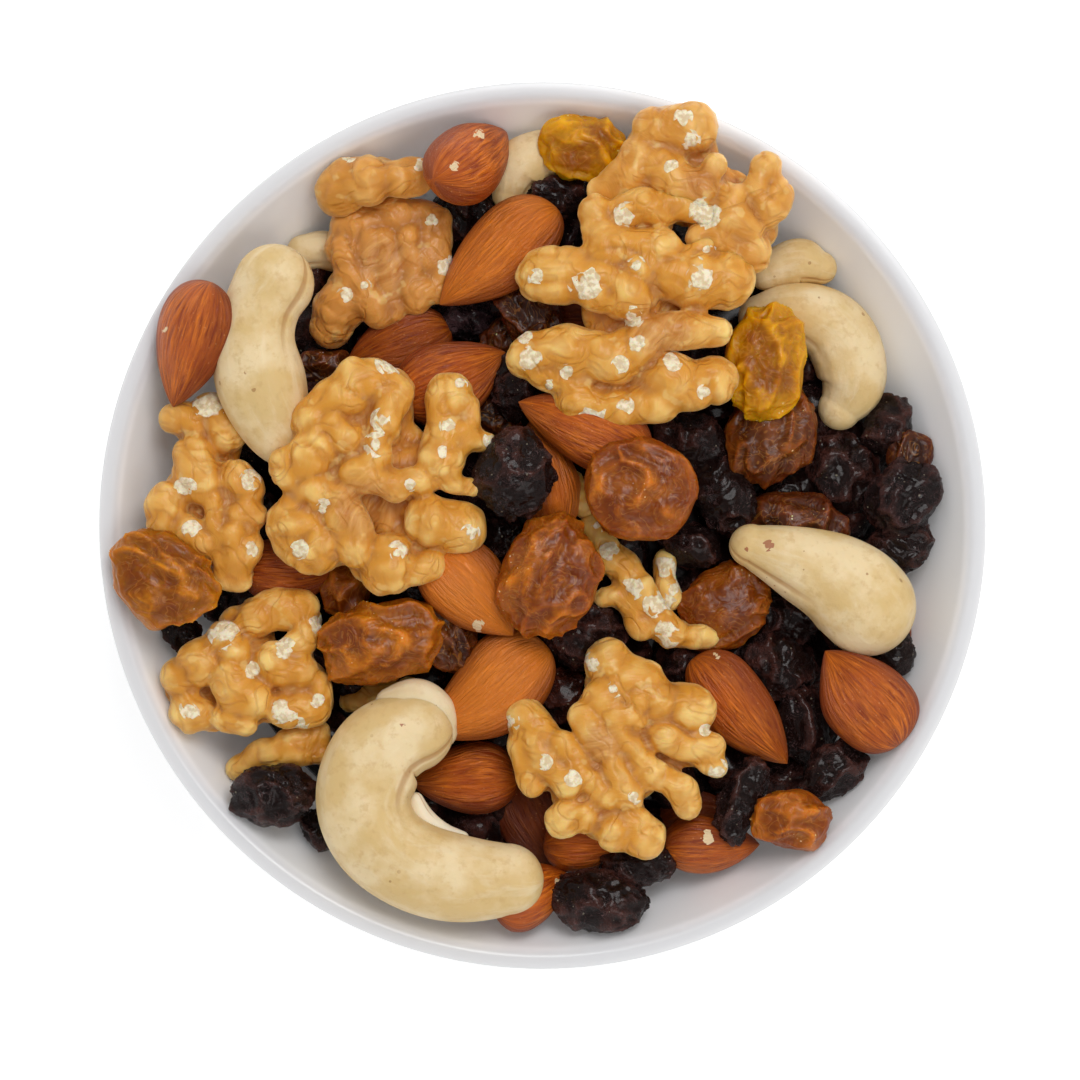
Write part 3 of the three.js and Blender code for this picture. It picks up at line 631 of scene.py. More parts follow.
# %% Cashew
cashew_flesh, tree, shader = material("cashew_flesh")
spot = add(tree, "ShaderNodeTexCoord").outputs["Object"]
grain = named(tree, "grain", "Vector")
broad = cloud(tree, spot, 150.0, 4.0)
mottle = cloud(tree, spot, 650.0, 5.0, Roughness=0.65)
lines = use(tree, streaks_tree, Vector=grain, Scale=0.5, Sharpness=1.6)
cream = blend(tree, step(tree, broad, 0.38, 0.64), srgb(222, 190, 130), srgb(238, 214, 168))
cream = blend(tree, step(tree, mottle, 0.50, 0.70), cream, srgb(206, 168, 108), 0.45)
cream = blend(tree, step(tree, lines, 0.5, 0.9), cream, srgb(246, 230, 196), 0.4)
cream = blend(tree, step(tree, named(tree, "tone"), 0.0, 1.0), cream, srgb(246, 232, 204))
marks = use(tree, dots_tree, Vector=spot, Scale=800.0, Share=0.16, Size=0.20)
patchy = step(tree, cloud(tree, spot, 110.0), 0.48, 0.60)
cream = blend(tree, maths(tree, "MULTIPLY", marks, patchy), cream, srgb(160, 104, 52), 0.6)
# Painted shade: darker along the groove of the seam.
crease = step(tree, named(tree, "crest"), -0.1, -0.8)
cream = blend(tree, crease, cream, srgb(176, 122, 66), 0.6)
stain = use(tree, ragged_tree, Vector=spot, Soft_mask=named(tree, "bare"), Scale=1100.0, Tear=0.6)
cream = blend(tree, stain, cream, srgb(158, 78, 48), 0.8)
finish_sockets(tree, shader, Base_Color=cream, Roughness=0.46, Subsurface_Weight=0.2, Subsurface_Scale=0.0012,
               Subsurface_Radius=(1.0, 0.6, 0.3), Specular_IOR_Level=0.35)
bump(tree, shader, maths(tree, "MULTIPLY_ADD", lines, 0.5, mottle), 0.0003, 0.5)

# %% Almond
almond_skin, tree, shader = material("almond_skin")
spot = add(tree, "ShaderNodeTexCoord").outputs["Object"]
grain = named(tree, "grain", "Vector")
tone = named(tree, "tone")
lines = use(tree, streaks_tree, Vector=grain, Scale=2.2, Sharpness=3.4)
broad = cloud(tree, spot, 230.0, 4.0)
fine = cloud(tree, spot, 2200.0, 3.0)
brown = blend(tree, lines, srgb(142, 52, 4), srgb(228, 122, 28))
brown = blend(tree, step(tree, broad, 0.42, 0.62), brown, srgb(190, 86, 18), 0.5)
brown = blend(tree, step(tree, tone, -0.1, -1.0), brown, srgb(88, 28, 8), 0.8)
brown = blend(tree, step(tree, tone, 0.0, 1.0), brown, srgb(236, 138, 40), 0.6)
# Painted shade: the almond darkens towards its sides, away from the top.
side = named(tree, "side")
brown = blend(tree, step(tree, side, 0.5, 1.0), brown, srgb(112, 36, 6), 0.6)
sand = use(tree, dots_tree, Vector=spot, Scale=1900.0, Share=0.4, Size=0.16)
brown = blend(tree, sand, brown, srgb(236, 170, 108), 0.28)
chip = use(tree, ragged_tree, Vector=spot, Soft_mask=named(tree, "bare"), Scale=1000.0, Tear=0.6)
finish_sockets(tree, shader, Base_Color=blend(tree, chip, brown, srgb(244, 216, 172)), Roughness=0.38,
               Subsurface_Weight=0.05, Subsurface_Scale=0.001, Specular_IOR_Level=0.35)
bump(tree, shader, maths(tree, "MULTIPLY_ADD", fine, 0.35, lines), 0.0004, 0.6)

# %% Golden raisin
golden_flesh, tree, shader = material("golden_flesh")
spot = add(tree, "ShaderNodeTexCoord").outputs["Object"]
crest = named(tree, "crest")
tone = named(tree, "tone")
broad = cloud(tree, spot, 230.0, 3.0)
veins = cloud(tree, spot, 340.0, 1.0, Distortion=2.0)
mottle = cloud(tree, spot, 1500.0, 3.0)
# Broad and fine noise give real mottling; the crests add painted light, so ridges come out lighter and folds
# darker.
light = maths(tree, "MULTIPLY_ADD", maths(tree, "SUBTRACT", broad, 0.5), 2.0, 0.2)
light = maths(tree, "MULTIPLY_ADD", maths(tree, "SUBTRACT", mottle, 0.5), 0.6, light)
light = maths(tree, "MULTIPLY_ADD", step(tree, crest, 0.4, 1.0), 0.6, light)
amber = blend(tree, step(tree, light, -0.2, 1.5), srgb(116, 46, 0), srgb(220, 130, 26))
brown = blend(tree, step(tree, light, -0.2, 1.4), srgb(42, 14, 4), srgb(116, 54, 16))
yellow = blend(tree, step(tree, light, -0.2, 1.4), srgb(150, 82, 0), srgb(244, 178, 8))
fruit = blend(tree, step(tree, tone, -0.05, -0.9), amber, brown)
fruit = blend(tree, step(tree, tone, 0.15, 0.9), fruit, yellow)
# Painted highlights: thin pale lines along the wrinkles, as light catching them.
painted_vein_light = step(tree, off_middle(tree, veins), 0.030, 0.0)
fruit = blend(tree, painted_vein_light, fruit, srgb(226, 156, 72), 0.24)
# Painted glow: near the raisin's edge, round its middle, the colour turns a deep or bright orange, as if lit
# through.
side = named(tree, "side")
glow = blend(tree, step(tree, tone, -0.05, -0.9), srgb(150, 74, 14), srgb(98, 38, 10))
glow = blend(tree, step(tree, tone, 0.15, 0.9), glow, srgb(236, 168, 6))
fruit = blend(tree, step(tree, side, 0.60, 1.0), fruit, glow, 0.5)
clumps = step(tree, broad, 0.54, 0.66)
dust = use(tree, dots_tree, Vector=spot, Scale=2000.0, Share=0.16, Size=0.20)
fruit = blend(tree, maths(tree, "MULTIPLY", dust, clumps), fruit, srgb(248, 226, 176), 0.8)
finish_sockets(tree, shader, Base_Color=fruit, Roughness=0.35, Subsurface_Weight=0.7, Subsurface_Scale=0.0025,
               Subsurface_Radius=(1.0, 0.42, 0.1), Specular_IOR_Level=0.2, Coat_Weight=0.18,
               Coat_Roughness=0.08)
bump(tree, shader, veins, 0.0008, 0.7)

# %% Dark raisin
dark_flesh, tree, shader = material("dark_flesh")
spot = add(tree, "ShaderNodeTexCoord").outputs["Object"]
crest = named(tree, "crest")
tone = named(tree, "tone")
fine = cloud(tree, spot, 800.0, 4.0, Distortion=2.0)
creased = off_middle(tree, fine)
# Painted light and shade: in each of the three tones, high crests are lighter and creases near black.
black = blend(tree, step(tree, crest, 0.3, 0.95), srgb(32, 10, 6), srgb(92, 50, 42))
blue = blend(tree, step(tree, crest, 0.2, 0.95), srgb(22, 10, 14), srgb(80, 56, 60))
wine = blend(tree, step(tree, crest, 0.2, 0.95), srgb(46, 14, 6), srgb(98, 46, 32))
fruit = blend(tree, step(tree, tone, 0.2, 0.8), black, blue)
fruit = blend(tree, step(tree, tone, -0.1, -0.8), fruit, wine)
dust = use(tree, dots_tree, Vector=spot, Scale=1400.0, Share=0.12, Size=0.16)
fruit = blend(tree, dust, fruit, srgb(196, 186, 160), 0.5)
# Painted highlights: thin pale lines along the wrinkles, in patches.
patchy = step(tree, cloud(tree, spot, 330.0), 0.42, 0.62)
painted_wrinkle_light = maths(tree, "MULTIPLY", step(tree, creased, 0.022, 0.0), patchy)
fruit = blend(tree, painted_wrinkle_light, fruit, srgb(140, 108, 108), 0.45)
finish_sockets(tree, shader, Base_Color=fruit, Roughness=0.25, Specular_IOR_Level=0.2, Coat_Weight=0.3,
               Coat_Roughness=0.16)
bump(tree, shader, creased, -0.0030, 1.0)
print(len(bpy.data.materials), "materials")

# %% [markdown]
# ## The bowl
# A turned shape is one profile swept round the axis. The profile runs from the middle of the
# underside, over the foot ring, up the outside, over the rounded rim and down the inside.

# %% Bowl
SIDES = 192
HOLLOW = 2.7           # height of the hollow inside the foot ring
LIP_TOP = 1.25         # from the outer radius to the rim's highest ring


def rounded(start, corner, end, count):
    """A quadratic curve from start to end that bends towards the corner."""
    t = np.linspace(0, 1, count)[:, None]
    return (1 - t) ** 2 * np.array(start) + 2 * t * (1 - t) * np.array(corner) + t ** 2 * np.array(end)


def bowl_profile():
    """Radius and height of the bowl's outline, without its two ends on the axis."""
    flat = np.stack([np.linspace(1.5, FOOT_INNER - 3, 8), np.full(8, HOLLOW)], axis=1)
    into = rounded((FOOT_INNER - 3, HOLLOW), (FOOT_INNER - 0.6, HOLLOW), (FOOT_INNER - 0.1, 0.9), 10)[1:]
    foot_in = rounded((FOOT_INNER - 0.1, 0.9), (FOOT_INNER, 0.0), (FOOT_INNER + 1, 0.0), 6)[1:]
    foot_out = rounded((FOOT_OUTER - 1, 0.0), (FOOT_OUTER, 0.0), (FOOT_OUTER, 1.0), 6)
    start = np.arcsin((FOOT_OUTER + 3.0) / RIM_OUTER)
    outside = np.stack(bowl_curve(RIM_OUTER, OUTER_DEPTH, np.linspace(start, 1.525, 44)), axis=1)
    neck = rounded((FOOT_OUTER, 1.0), (FOOT_OUTER + 0.1, 7.2), tuple(outside[0]), 14)[1:-1]
    lip_out = rounded(tuple(outside[-1]), (RIM_OUTER, RIM_HEIGHT), (RIM_OUTER - LIP_TOP, RIM_HEIGHT), 9)[1:]
    inside = np.stack(bowl_curve(RIM_INNER, INNER_DEPTH, np.linspace(1.40, 0.02, 56)), axis=1)
    lip_in = rounded((RIM_OUTER - 1.5, RIM_HEIGHT), (RIM_INNER, RIM_HEIGHT), tuple(inside[0]), 14)[:-1]
    return np.concatenate([flat, into, foot_in, foot_out, neck, outside, lip_out, lip_in, inside])


def turned(profile):
    """The profile's rings about the Z axis: (radius cos a, radius sin a, height)."""
    around = np.linspace(0, 2 * np.pi, SIDES, endpoint=False)
    return np.stack([profile[:, :1] * np.cos(around), profile[:, :1] * np.sin(around),
                     profile[:, 1:] + 0 * around], axis=-1)


profile = bowl_profile()
pile = Pile()
# `lip` is 1 on the outside and the rim and fades just below the rim on the inside.
lip = np.clip((profile[:, 1:] - RIM_HEIGHT + 0.8) / 0.6, 0, 1)
lip[:np.argmax(profile[:, 1])] = 1
lip = np.repeat(lip, SIDES, axis=1)
pile.add_rings(turned(profile), [0, 0, profile[0, 1]], [0, 0, profile[-1, 1]], lip=lip)
bowl = pile.build("glazed_bowl", glaze, "bowl")

# %% [markdown]
# ## Almonds
# Along an almond, a share s from its blunt end to its tip, the half width follows the square root
# of s times (1 - s) to the power 0.85. That is round at the blunt end and nearly pointed at the
# tip. Fine ridges run along the skin.

# %% Almond shape
ALMOND_RINGS = (46, 60)  # rings along an almond, and points round each
WIDEST = 0.4106          # the formula's largest value, which makes the half width a share
# Chips in the skin: plan x, plan y and radius.
CHIPS = [[479, 135, 1.1], [455, 166, 0.9], [165, 330, 0.6], [157, 390, 0.7], [562, 405, 0.8],
         [478, 626, 1.2], [560, 883, 1.1], [708, 837, 1.3], [717, 655, 0.7]]


def closeness(points, marks, wider=1.0):
    """For each point, the largest of 1 - distance / radius over the plan's round marks, from 0."""
    share = 1 - (points[:, 2] - RIM_HEIGHT) / EYE
    gx = points[:, 0] / (GRID * share) + PLAN_X
    gy = PLAN_Y - points[:, 1] / (GRID * share)
    best = np.zeros(len(points))
    for mx, my, radius in marks:
        best = np.maximum(best, 1 - np.hypot(gx - mx, gy - my) * GRID / (radius * wider))
    return best


def ball_points(rows, sides):
    """Unit vectors in rings about X, followed by the two poles."""
    return np.concatenate([unit_rings(rows, sides).reshape(-1, 3), [[-1, 0, 0]], [[1, 0, 0]]])


def place(points, row):
    """Turns a shape by its row's heading, pitch and roll and moves it to its place."""
    return points @ turn_matrix(*row[6:9]).T + plan_point(*row[:3])


def almond(row, seed):
    """One almond's points in place, its grain coordinates and how far each point is to the side,
    from 0 on top to 1 at its edge."""
    length, width, thick = row[3:6]
    d = ball_points(*ALMOND_RINGS)
    s = (1 + d[:, 0]) / 2
    around = np.hypot(d[:, 1], d[:, 2])
    side = np.divide(d[:, 1], around, out=np.zeros_like(s), where=around > 1e-9)
    up = np.divide(d[:, 2], around, out=np.zeros_like(s), where=around > 1e-9)
    swell = np.sqrt(s) * (1 - s) ** 0.85 / WIDEST
    bend = 0.05 * length * noise(np.stack([s * 1.5, 0 * s, 0 * s + seed], axis=1), 3)
    ridge = folds(np.stack([s * 2.2 + seed, side * 4.2, up * 4.2], axis=1), seed)
    lump = 1 + 0.05 * noise(np.stack([s * 3, side * 1.2, up * 1.2 + seed], axis=1), seed + 5)
    relief = 0.08 * ridge * np.minimum(1, 3 * swell)
    half_w = swell * width / 2 * lump + relief
    half_t = swell * thick / 2 * lump + relief
    shape = np.stack([length * (s - 0.5), half_w * side + bend * swell, half_t * up], axis=1)
    grain = np.stack([s * length * 0.13 + 9.1 * seed, side * width / 2, up * thick / 2], axis=1)
    return place(shape, row), grain, np.abs(side)


pile = Pile()
quads, tris = ring_faces(*ALMOND_RINGS)
for number, row in enumerate(ALMONDS):
    points, grain, side = almond(row, number)
    pile.add(points, quads, tris, grain=grain, side=side, tone=row[9], bare=closeness(points, CHIPS))
almonds = pile.build("almonds", almond_skin, "trail_mix")

# %% [markdown]
# ## Raisins
# A raisin is a flattened ball that has dried and crumpled. Folds are ridged noise: its zero lines
# become sharp crests. Golden raisins have a few broad folds, dark ones many, at three sizes.

# %% Raisin shape
def raisin(row, rows, sides, seed, sizes, lumps=0.11, long=1.3, dish=0.0):
    """One raisin's points in place, its crests and how far each point is to the side. Each of sizes
    is a fold spacing and a height in millimetres, lumps is the share by which the ball is uneven,
    long stretches the folds along the raisin, and dish is how far the top is pushed in."""
    half = np.array(row[3:6]) / 2
    d = ball_points(rows, sides)
    base = d * half
    out = d / half
    out = out / np.linalg.norm(out, axis=1)[:, None]
    lump = 1 + lumps * noise(base / 4.5 + 7.3 * seed, seed)
    field = base / [long, 1, 1]
    crest = np.zeros(len(d))
    lift = np.zeros(len(d))
    for k, (spacing, height) in enumerate(sizes):
        ridge = folds(warp(field / spacing + 3.1 * seed, 0.7, seed + 40), seed + 11 * k)
        lift = lift + height * (ridge - 0.5)
        crest = crest + ridge * height
    crest = crest / sum(height for _, height in sizes)
    flat = np.clip(1 - (d[:, 0] ** 2 + d[:, 1] ** 2) / 0.75, 0, 1)
    calm = 1 - 0.6 * (dish > 1) * (1 - flat)
    points = base * lump[:, None] + out * (lift * calm)[:, None]
    points[:, 2] = points[:, 2] - dish * np.sqrt(flat) * (d[:, 2] > 0)
    side = np.linalg.norm(d[:, :2], axis=1)
    return place(points, row), crest, side


# Folds as pairs of a spacing and a height.
GOLDEN_FOLDS = [(3.6, 0.9), (1.8, 0.35)]
DARK_FOLDS = [(3.6, 0.75), (1.5, 0.42), (0.75, 0.2)]
GOLDEN_RINGS = (56, 72)
DISC = 14                # the number of the round golden raisin with a hollow top
pile = Pile()
quads, tris = ring_faces(*GOLDEN_RINGS)
for number, row in enumerate(GOLDEN_RAISINS):
    dish = 1.1 if number == DISC else 0.4
    points, crest, side = raisin(row, *GOLDEN_RINGS, number, GOLDEN_FOLDS, 0.09, 1.8, dish)
    pile.add(points, quads, tris, crest=crest, side=side, tone=row[9])
golden = pile.build("golden_raisins", golden_flesh)

pile = Pile()
for number, row in enumerate(DARK_RAISINS):
    rows, sides = (50, 60) if row[3] > 9 else (34, 42)
    points, crest, _ = raisin(row, rows, sides, number + 60, DARK_FOLDS)
    quads, tris = ring_faces(rows, sides)
    pile.add(points, quads, tris, crest=crest, tone=row[9])
dark = pile.build("dark_raisins", dark_flesh)

# %% [markdown]
# ## Cashews
# A cashew is a round section swept along a bent middle line, with half balls at its ends. A
# seam runs along its inner side.

# %% Cashew shape
SEAM_ANGLE = 0.75      # the seam's turn round the section, from the inner side up
SEAM_WIDTH = 0.13      # in radians
TIGHTEST = 0.9         # the most that the radius may be, as a share of the bend's own


def worm(line, rows, sides, flat=1.0):
    """Rings about a smooth path through points with radii (x, y, z, radius), their share along
    the length and their angle. The ends are half balls: radius times cosine, ahead by sine."""
    caps = max(3, rows // 7)
    path = smooth_path(line, rows)
    ahead = np.gradient(path[:, :3], axis=0)
    ahead = ahead / np.linalg.norm(ahead, axis=1)[:, None]
    swing = np.linspace(-np.pi / 2, 0, caps + 1)[1:-1, None]
    first = path[:1, :3] + ahead[:1] * path[0, 3] * np.sin(swing)
    last = path[-1:, :3] - ahead[-1:] * path[-1, 3] * np.sin(swing[::-1])
    centre = np.concatenate([first, path[:, :3], last])
    shrink = np.cos(swing[:, 0])
    radius = np.concatenate([path[0, 3] * shrink, path[:, 3], path[-1, 3] * shrink[::-1]])
    way = np.concatenate([np.repeat(ahead[:1], len(first), axis=0), ahead,
                          np.repeat(ahead[-1:], len(last), axis=0)])
    side = np.cross([0, 0, 1.0], way)
    side = side / np.linalg.norm(side, axis=1)[:, None]
    over = np.cross(way, side)
    angle = np.linspace(0, 2 * np.pi, sides, endpoint=False)
    share = np.linspace(0, 1, len(centre))
    tips = (path[0, :3] - ahead[0] * path[0, 3], path[-1, :3] + ahead[-1] * path[-1, 3])
    return centre, radius, side, over * flat, angle, share, tips


def skin(centre, radius, side, over, angle):
    """Ring points: centre + radius (cos a side + sin a over). The radius may vary by ring and
    angle. Towards the inside of a bend it stays below the bend's own radius, by a soft limit."""
    radius = (radius if radius.ndim == 2 else radius[:, None]) + 0 * angle[None, :]
    ahead = np.gradient(centre, axis=0)
    length = np.linalg.norm(ahead, axis=1)[:, None] + 1e-9
    bend = spread_rows(np.gradient(ahead / length, axis=0) / length, 14)
    inward = (np.cos(angle)[None, :] * np.sum(bend * side, axis=1)[:, None]
              + np.sin(angle)[None, :] * np.sum(bend * over, axis=1)[:, None])
    radius = radius / (1 + (radius * np.maximum(inward, 0) / TIGHTEST) ** 6) ** (1 / 6)
    return centre[:, None, :] + radius[..., None] * (np.cos(angle)[None, :, None] * side[:, None, :]
                                                     + np.sin(angle)[None, :, None] * over[:, None, :])


def spread_rows(values, times):
    """Each row averaged with the next and the last, several times over. The end rows stay."""
    for _ in range(times):
        padded = np.concatenate([2 * values[:1] - values[1:2], values, 2 * values[-1:] - values[-2:-1]])
        values = 0.25 * padded[:-2] + 0.5 * padded[1:-1] + 0.25 * padded[2:]
    return values


def plan_line(height, rows):
    """A cashew's middle line in millimetres with its radii, evened so that its bend has no jumps."""
    rows = np.array(rows, dtype=float)
    points = plan_point(rows[:, 0], rows[:, 1], height + rows[:, 3])
    return spread_rows(smooth_path(np.concatenate([points, rows[:, 2:3]], axis=1), 60), 30)


# Reddish marks on the cashews: plan x, plan y and radius.
STAINS = [[768, 545, 1.1], [746, 549, 0.4], [402, 726, 0.5]]


def add_cashew(pile, line, seed, tone, rows=84, sides=72, seam=0.05):
    """Adds one cashew with low lumps and a seam along its inner side."""
    centre, radius, side, over, angle, share, tips = worm(line, rows, sides, 0.9)
    turn = np.sum(np.cross(line[1, :3] - line[0, :3], line[-1, :3] - line[-2, :3]) * [0, 0, 1])
    inner = SEAM_ANGLE if turn > 0 else np.pi - SEAM_ANGLE
    away = np.abs((angle[None, :] - inner + np.pi) % (2 * np.pi) - np.pi)
    cut = seam * np.exp(-(away / SEAM_WIDTH) ** 2) * np.clip(1.6 - 2.2 * share[:, None], 0.15, 1)
    ring = np.stack([np.repeat(share[:, None], sides, 1) * 6, 2 * np.cos(angle)[None, :] + 0 * share[:, None],
                     2 * np.sin(angle)[None, :] + 0 * share[:, None]], axis=-1)
    lump = 0.045 * noise(ring * 0.7 + seed * 5.3, seed) + 0.015 * noise(ring * [1.0, 3, 3] + seed, seed + 3)
    rings = skin(centre, radius[:, None] * (1 + lump - cut), side, over, angle)
    length = np.linalg.norm(np.diff(centre, axis=0), axis=1).sum()
    grain = np.stack([ring[..., 0] / 6 * length * 0.25 + seed * 3.7, ring[..., 1] * 2,
                      ring[..., 2] * 2], axis=-1)
    crest = -cut / seam * 1.2 + 0.3
    bare = closeness(rings.reshape(-1, 3), STAINS).reshape(rings.shape[:2])
    pile.add_rings(rings, tips[0], tips[1], grain=grain, crest=crest, tone=tone, bare=bare)


pile = Pile()
for number, (height, rows) in enumerate(CASHEWS):
    add_cashew(pile, plan_line(height, rows), number, 0.0)
# The largest one's split end and the white strip inside its bend.
add_cashew(pile, plan_line(1.6, [[392, 704, 2.4, 0.4], [416, 699, 2.9, 0.6], [435, 712, 2.9, 0.2],
                                 [441, 732, 2.3, -0.2]]), 21, 0.4, 40, 40, 0.02)
add_cashew(pile, plan_line(1.2, [[416, 800, 1.1, 0], [424, 818, 1.5, 0], [440, 832, 1.5, 0],
                                 [462, 838, 1.0, 0]]), 22, 1.0, 30, 32, 0.02)
cashews = pile.build("cashews", cashew_flesh)

# %% [markdown]
# ## Walnut halves
# A walnut half is many fat lobes grown together. Each lobe is a short worm with knuckles. A voxel
# remesh joins them into one skin, and smoothing rounds the joins. Noise along the normals then
# adds folds: the root of its size has sharp creases. Last, the crests are measured: a point's
# height over a smoothed copy of the surface. A grid of two parameters can't branch as a walnut
# does, and a remesh can, which is why it is used here and nowhere else.

# %% Walnut shape
DOME = 2.6             # how much higher the middle lobes lie than the outer ones
VOXEL = 0.455          # size of the remesh's cells
MANY = 6               # a piece with more lobes than this also has ribs and a plate under them
FOLD = 5.0             # spacing of the folds, and below it their height
FOLD_HEIGHT = 0.6
SINK = 0.85            # how deep ribs and balls lie under their lobes, as a share of the radius


def lobe_line(start, end, radius, seed):
    """A lobe's middle line: straight, pushed sideways by noise, with knuckles in its radius."""
    t = np.linspace(0, 1, 5)[:, None]
    line = start + (end - start) * t
    across = np.cross(end - start, [0, 0, 1.0])
    across = across / (np.linalg.norm(across) + 1e-9)
    wave = noise(np.stack([t[:, 0] * 2.1, 0 * t[:, 0] + seed, 0 * t[:, 0]], axis=1), 8)
    line = line + across * (0.25 * radius * wave)[:, None]
    knuckle = 1 + 0.07 * np.sin(5.5 * t + seed * 1.7)
    return np.concatenate([line, radius * knuckle], axis=1)


def walnut_lobes(height, lobes, seed):
    """The closed shapes of one walnut half: its lobes, a lower rib from each lobe to the middle,
    and a low ball in the crease between each two lobes that lie side by side."""
    rows = np.array(lobes, dtype=float)
    radius = rows[:, 4]
    starts = plan_point(rows[:, 0], rows[:, 1], height)
    ends = plan_point(rows[:, 2], rows[:, 3], height)
    both = np.concatenate([starts, ends])
    middle = both.mean(axis=0)
    reach = np.linalg.norm(both - middle, axis=1).max() + 1e-6
    for side in (starts, ends):
        side[:, 2] += DOME * (1 - (np.linalg.norm(side - middle, axis=1) / reach) ** 2)
        side[:, 2] += 0.5 * (radius.max() - radius)
    pile = Pile()

    def tube(line, rows, sides, flat=1.0):
        centre, ring, side, over, angle, _, tips = worm(line, rows, sides, flat)
        pile.add_rings(skin(centre, ring, side, over, angle), tips[0], tips[1])

    for k in range(len(rows)):
        tube(lobe_line(starts[k], ends[k], radius[k], seed * 20 + k), 14, 18)
        near = min((starts[k], ends[k]), key=lambda end: np.linalg.norm(end - middle))
        low = np.array([0, 0, -SINK * radius[k]])
        hub = middle + [0, 0, DOME - 2.3]
        if len(rows) > MANY and np.linalg.norm(near - hub) > 1.0:
            line = np.stack([near + low, 0.5 * (near + hub) + low, hub])
            tube(np.concatenate([line, [[0.85 * radius[k]], [0.9 * radius[k]], [2.4]]], axis=1), 12, 14)
    if len(rows) > MANY:
        wide = 0.52 * np.abs(both - middle).max(axis=0)
        plate = unit_rings(12, 20) * [wide[0], wide[1], 2.4] + middle + [0, 0, DOME - 3.8]
        pile.add_rings(plate, plate[0].mean(axis=0), plate[-1].mean(axis=0))
    t = np.linspace(0, 1, 5)[None, :, None]
    spots = starts[:, None, :] * (1 - t) + ends[:, None, :] * t
    ball = unit_rings(8, 12)
    for i in range(len(rows)):
        for j in range(i + 1, len(rows)):
            gap = np.linalg.norm(spots[i][:, None] - spots[j][None], axis=2)
            a, b = np.unravel_index(np.argmin(gap), gap.shape)
            if gap[a, b] < 1.1 * (radius[i] + radius[j]):
                size = 0.5 * (radius[i] + radius[j])
                centre = 0.5 * (spots[i][a] + spots[j][b]) - [0, 0, SINK * size]
                pile.add_rings(centre + size * ball, centre - [size, 0, 0], centre + [size, 0, 0])
    return np.concatenate(pile.points), np.concatenate(pile.quads), np.concatenate(pile.tris)


def grow_together(points, quads, tris):
    """One skin over overlapping closed shapes: voxel remesh, then smoothing. Returns its points,
    its quads and its edges."""
    mesh = bpy.data.meshes.new("lobes")
    mesh.from_pydata((points * MM).tolist(), [], quads.tolist() + tris.tolist())
    scratch = bpy.data.objects.new("lobes", mesh)
    bpy.context.scene.collection.objects.link(scratch)
    remesh = scratch.modifiers.new("join", "REMESH")
    remesh.mode = "VOXEL"
    remesh.voxel_size = VOXEL * MM
    smooth = scratch.modifiers.new("round", "SMOOTH")
    smooth.factor = 0.5
    smooth.iterations = 2
    made = scratch.evaluated_get(bpy.context.evaluated_depsgraph_get()).to_mesh()
    flat = np.empty(len(made.vertices) * 3, dtype=np.float32)
    made.vertices.foreach_get("co", flat)
    corners = np.empty(len(made.loops), dtype=np.int32)
    made.loops.foreach_get("vertex_index", corners)
    edges = np.empty(len(made.edges) * 2, dtype=np.int32)
    made.edges.foreach_get("vertices", edges)
    bpy.data.objects.remove(scratch)
    bpy.data.meshes.remove(mesh)
    return flat.reshape(-1, 3).astype(float) / MM, corners.reshape(-1, 4), edges.reshape(-1, 2)


def spread(values, edges, times):
    """Each point's values averaged with its neighbours' along the edges, several times over."""
    total = len(values)
    links = np.bincount(edges.ravel(), minlength=total)[:, None]
    for _ in range(times):
        near = np.stack([np.bincount(edges[:, 0], values[edges[:, 1], k], total)
                         + np.bincount(edges[:, 1], values[edges[:, 0], k], total)
                         for k in range(values.shape[1])], axis=1)
        values = 0.5 * values + 0.5 * near / links
    return values


def normals(points, quads):
    """Unit normals: the cross products of each quad's diagonals, summed at its corners."""
    face = np.cross(points[quads[:, 2]] - points[quads[:, 0]], points[quads[:, 3]] - points[quads[:, 1]])
    total = np.stack([np.bincount(quads.ravel(), np.repeat(face[:, k], 4), len(points))
                      for k in range(3)], axis=1)
    return total / (np.linalg.norm(total, axis=1)[:, None] + 1e-12)


def add_walnut(pile, height, tone, lobes, seed):
    """Adds one walnut half with its crests, its bare patches and its fibrous middle."""
    points, quads, edges = grow_together(*walnut_lobes(height, lobes, seed))
    out = normals(points, quads)
    folded = np.sqrt(np.abs(noise(warp(points / FOLD + seed, 0.6, seed + 2), seed)))
    lumps = FOLD_HEIGHT * (folded - 0.45) + 0.15 * noise(points / 1.9, seed + 1)
    points = points + out * lumps[:, None]
    crest = np.sum((points - spread(points, edges, 24)) * out, axis=1) / 0.45
    flat = points - points.mean(axis=0)
    flat = flat @ np.linalg.svd(flat[::7], full_matrices=False)[2].T
    grain = warp(flat / 3.0, 0.5, seed + 4) * [0.5, 2.8, 1.0]
    pile.add(points, quads, np.zeros((0, 3), dtype=int), crest=crest, tone=tone, grain=grain,
             side=1 - np.abs(out[:, 2]), bare=closeness(points, BARE, 1.6), fibre=closeness(points, FIBRES))


pile = Pile()
for number, (height, tone, lobes) in enumerate(WALNUTS):
    add_walnut(pile, height, tone, lobes, number + 1)
walnuts = pile.build("walnuts", walnut_skin)

# %% [markdown]
# ## What lies under them
# The gaps show more dark fruit. A low dome fills the bowl, and a layer of small dark raisins lies
# on it, spread by a sunflower rule: the golden angle between one and the next.

# %% Core
UNDER = 110                # small raisins on the dome
UNDER_REACH = 47.0         # how far they lie from the axis
UNDER_SIZE = (9.5, 7.6, 6.4)
GOLDEN_ANGLE = 2.39996     # in radians
CORE_GAP = 1.4             # from the core to the bowl's inner face


def dome_height(radius):
    """Height of the layer under the pieces: highest in the middle, falling by the square of the
    distance from the axis."""
    return RIM_HEIGHT - 7.5 - 8.0 * (radius / 56.0) ** 2


def core_profile():
    """The dome from the axis to its edge, and back down beside the bowl's inner face."""
    radius = np.linspace(0.5, 48, 24)
    top = np.stack([radius, dome_height(radius)], axis=1)
    angles = np.linspace(0.98, 0.03, 16)
    inner = np.stack(bowl_curve(RIM_INNER - CORE_GAP, INNER_DEPTH - CORE_GAP, angles), axis=1)
    return np.concatenate([top, inner])


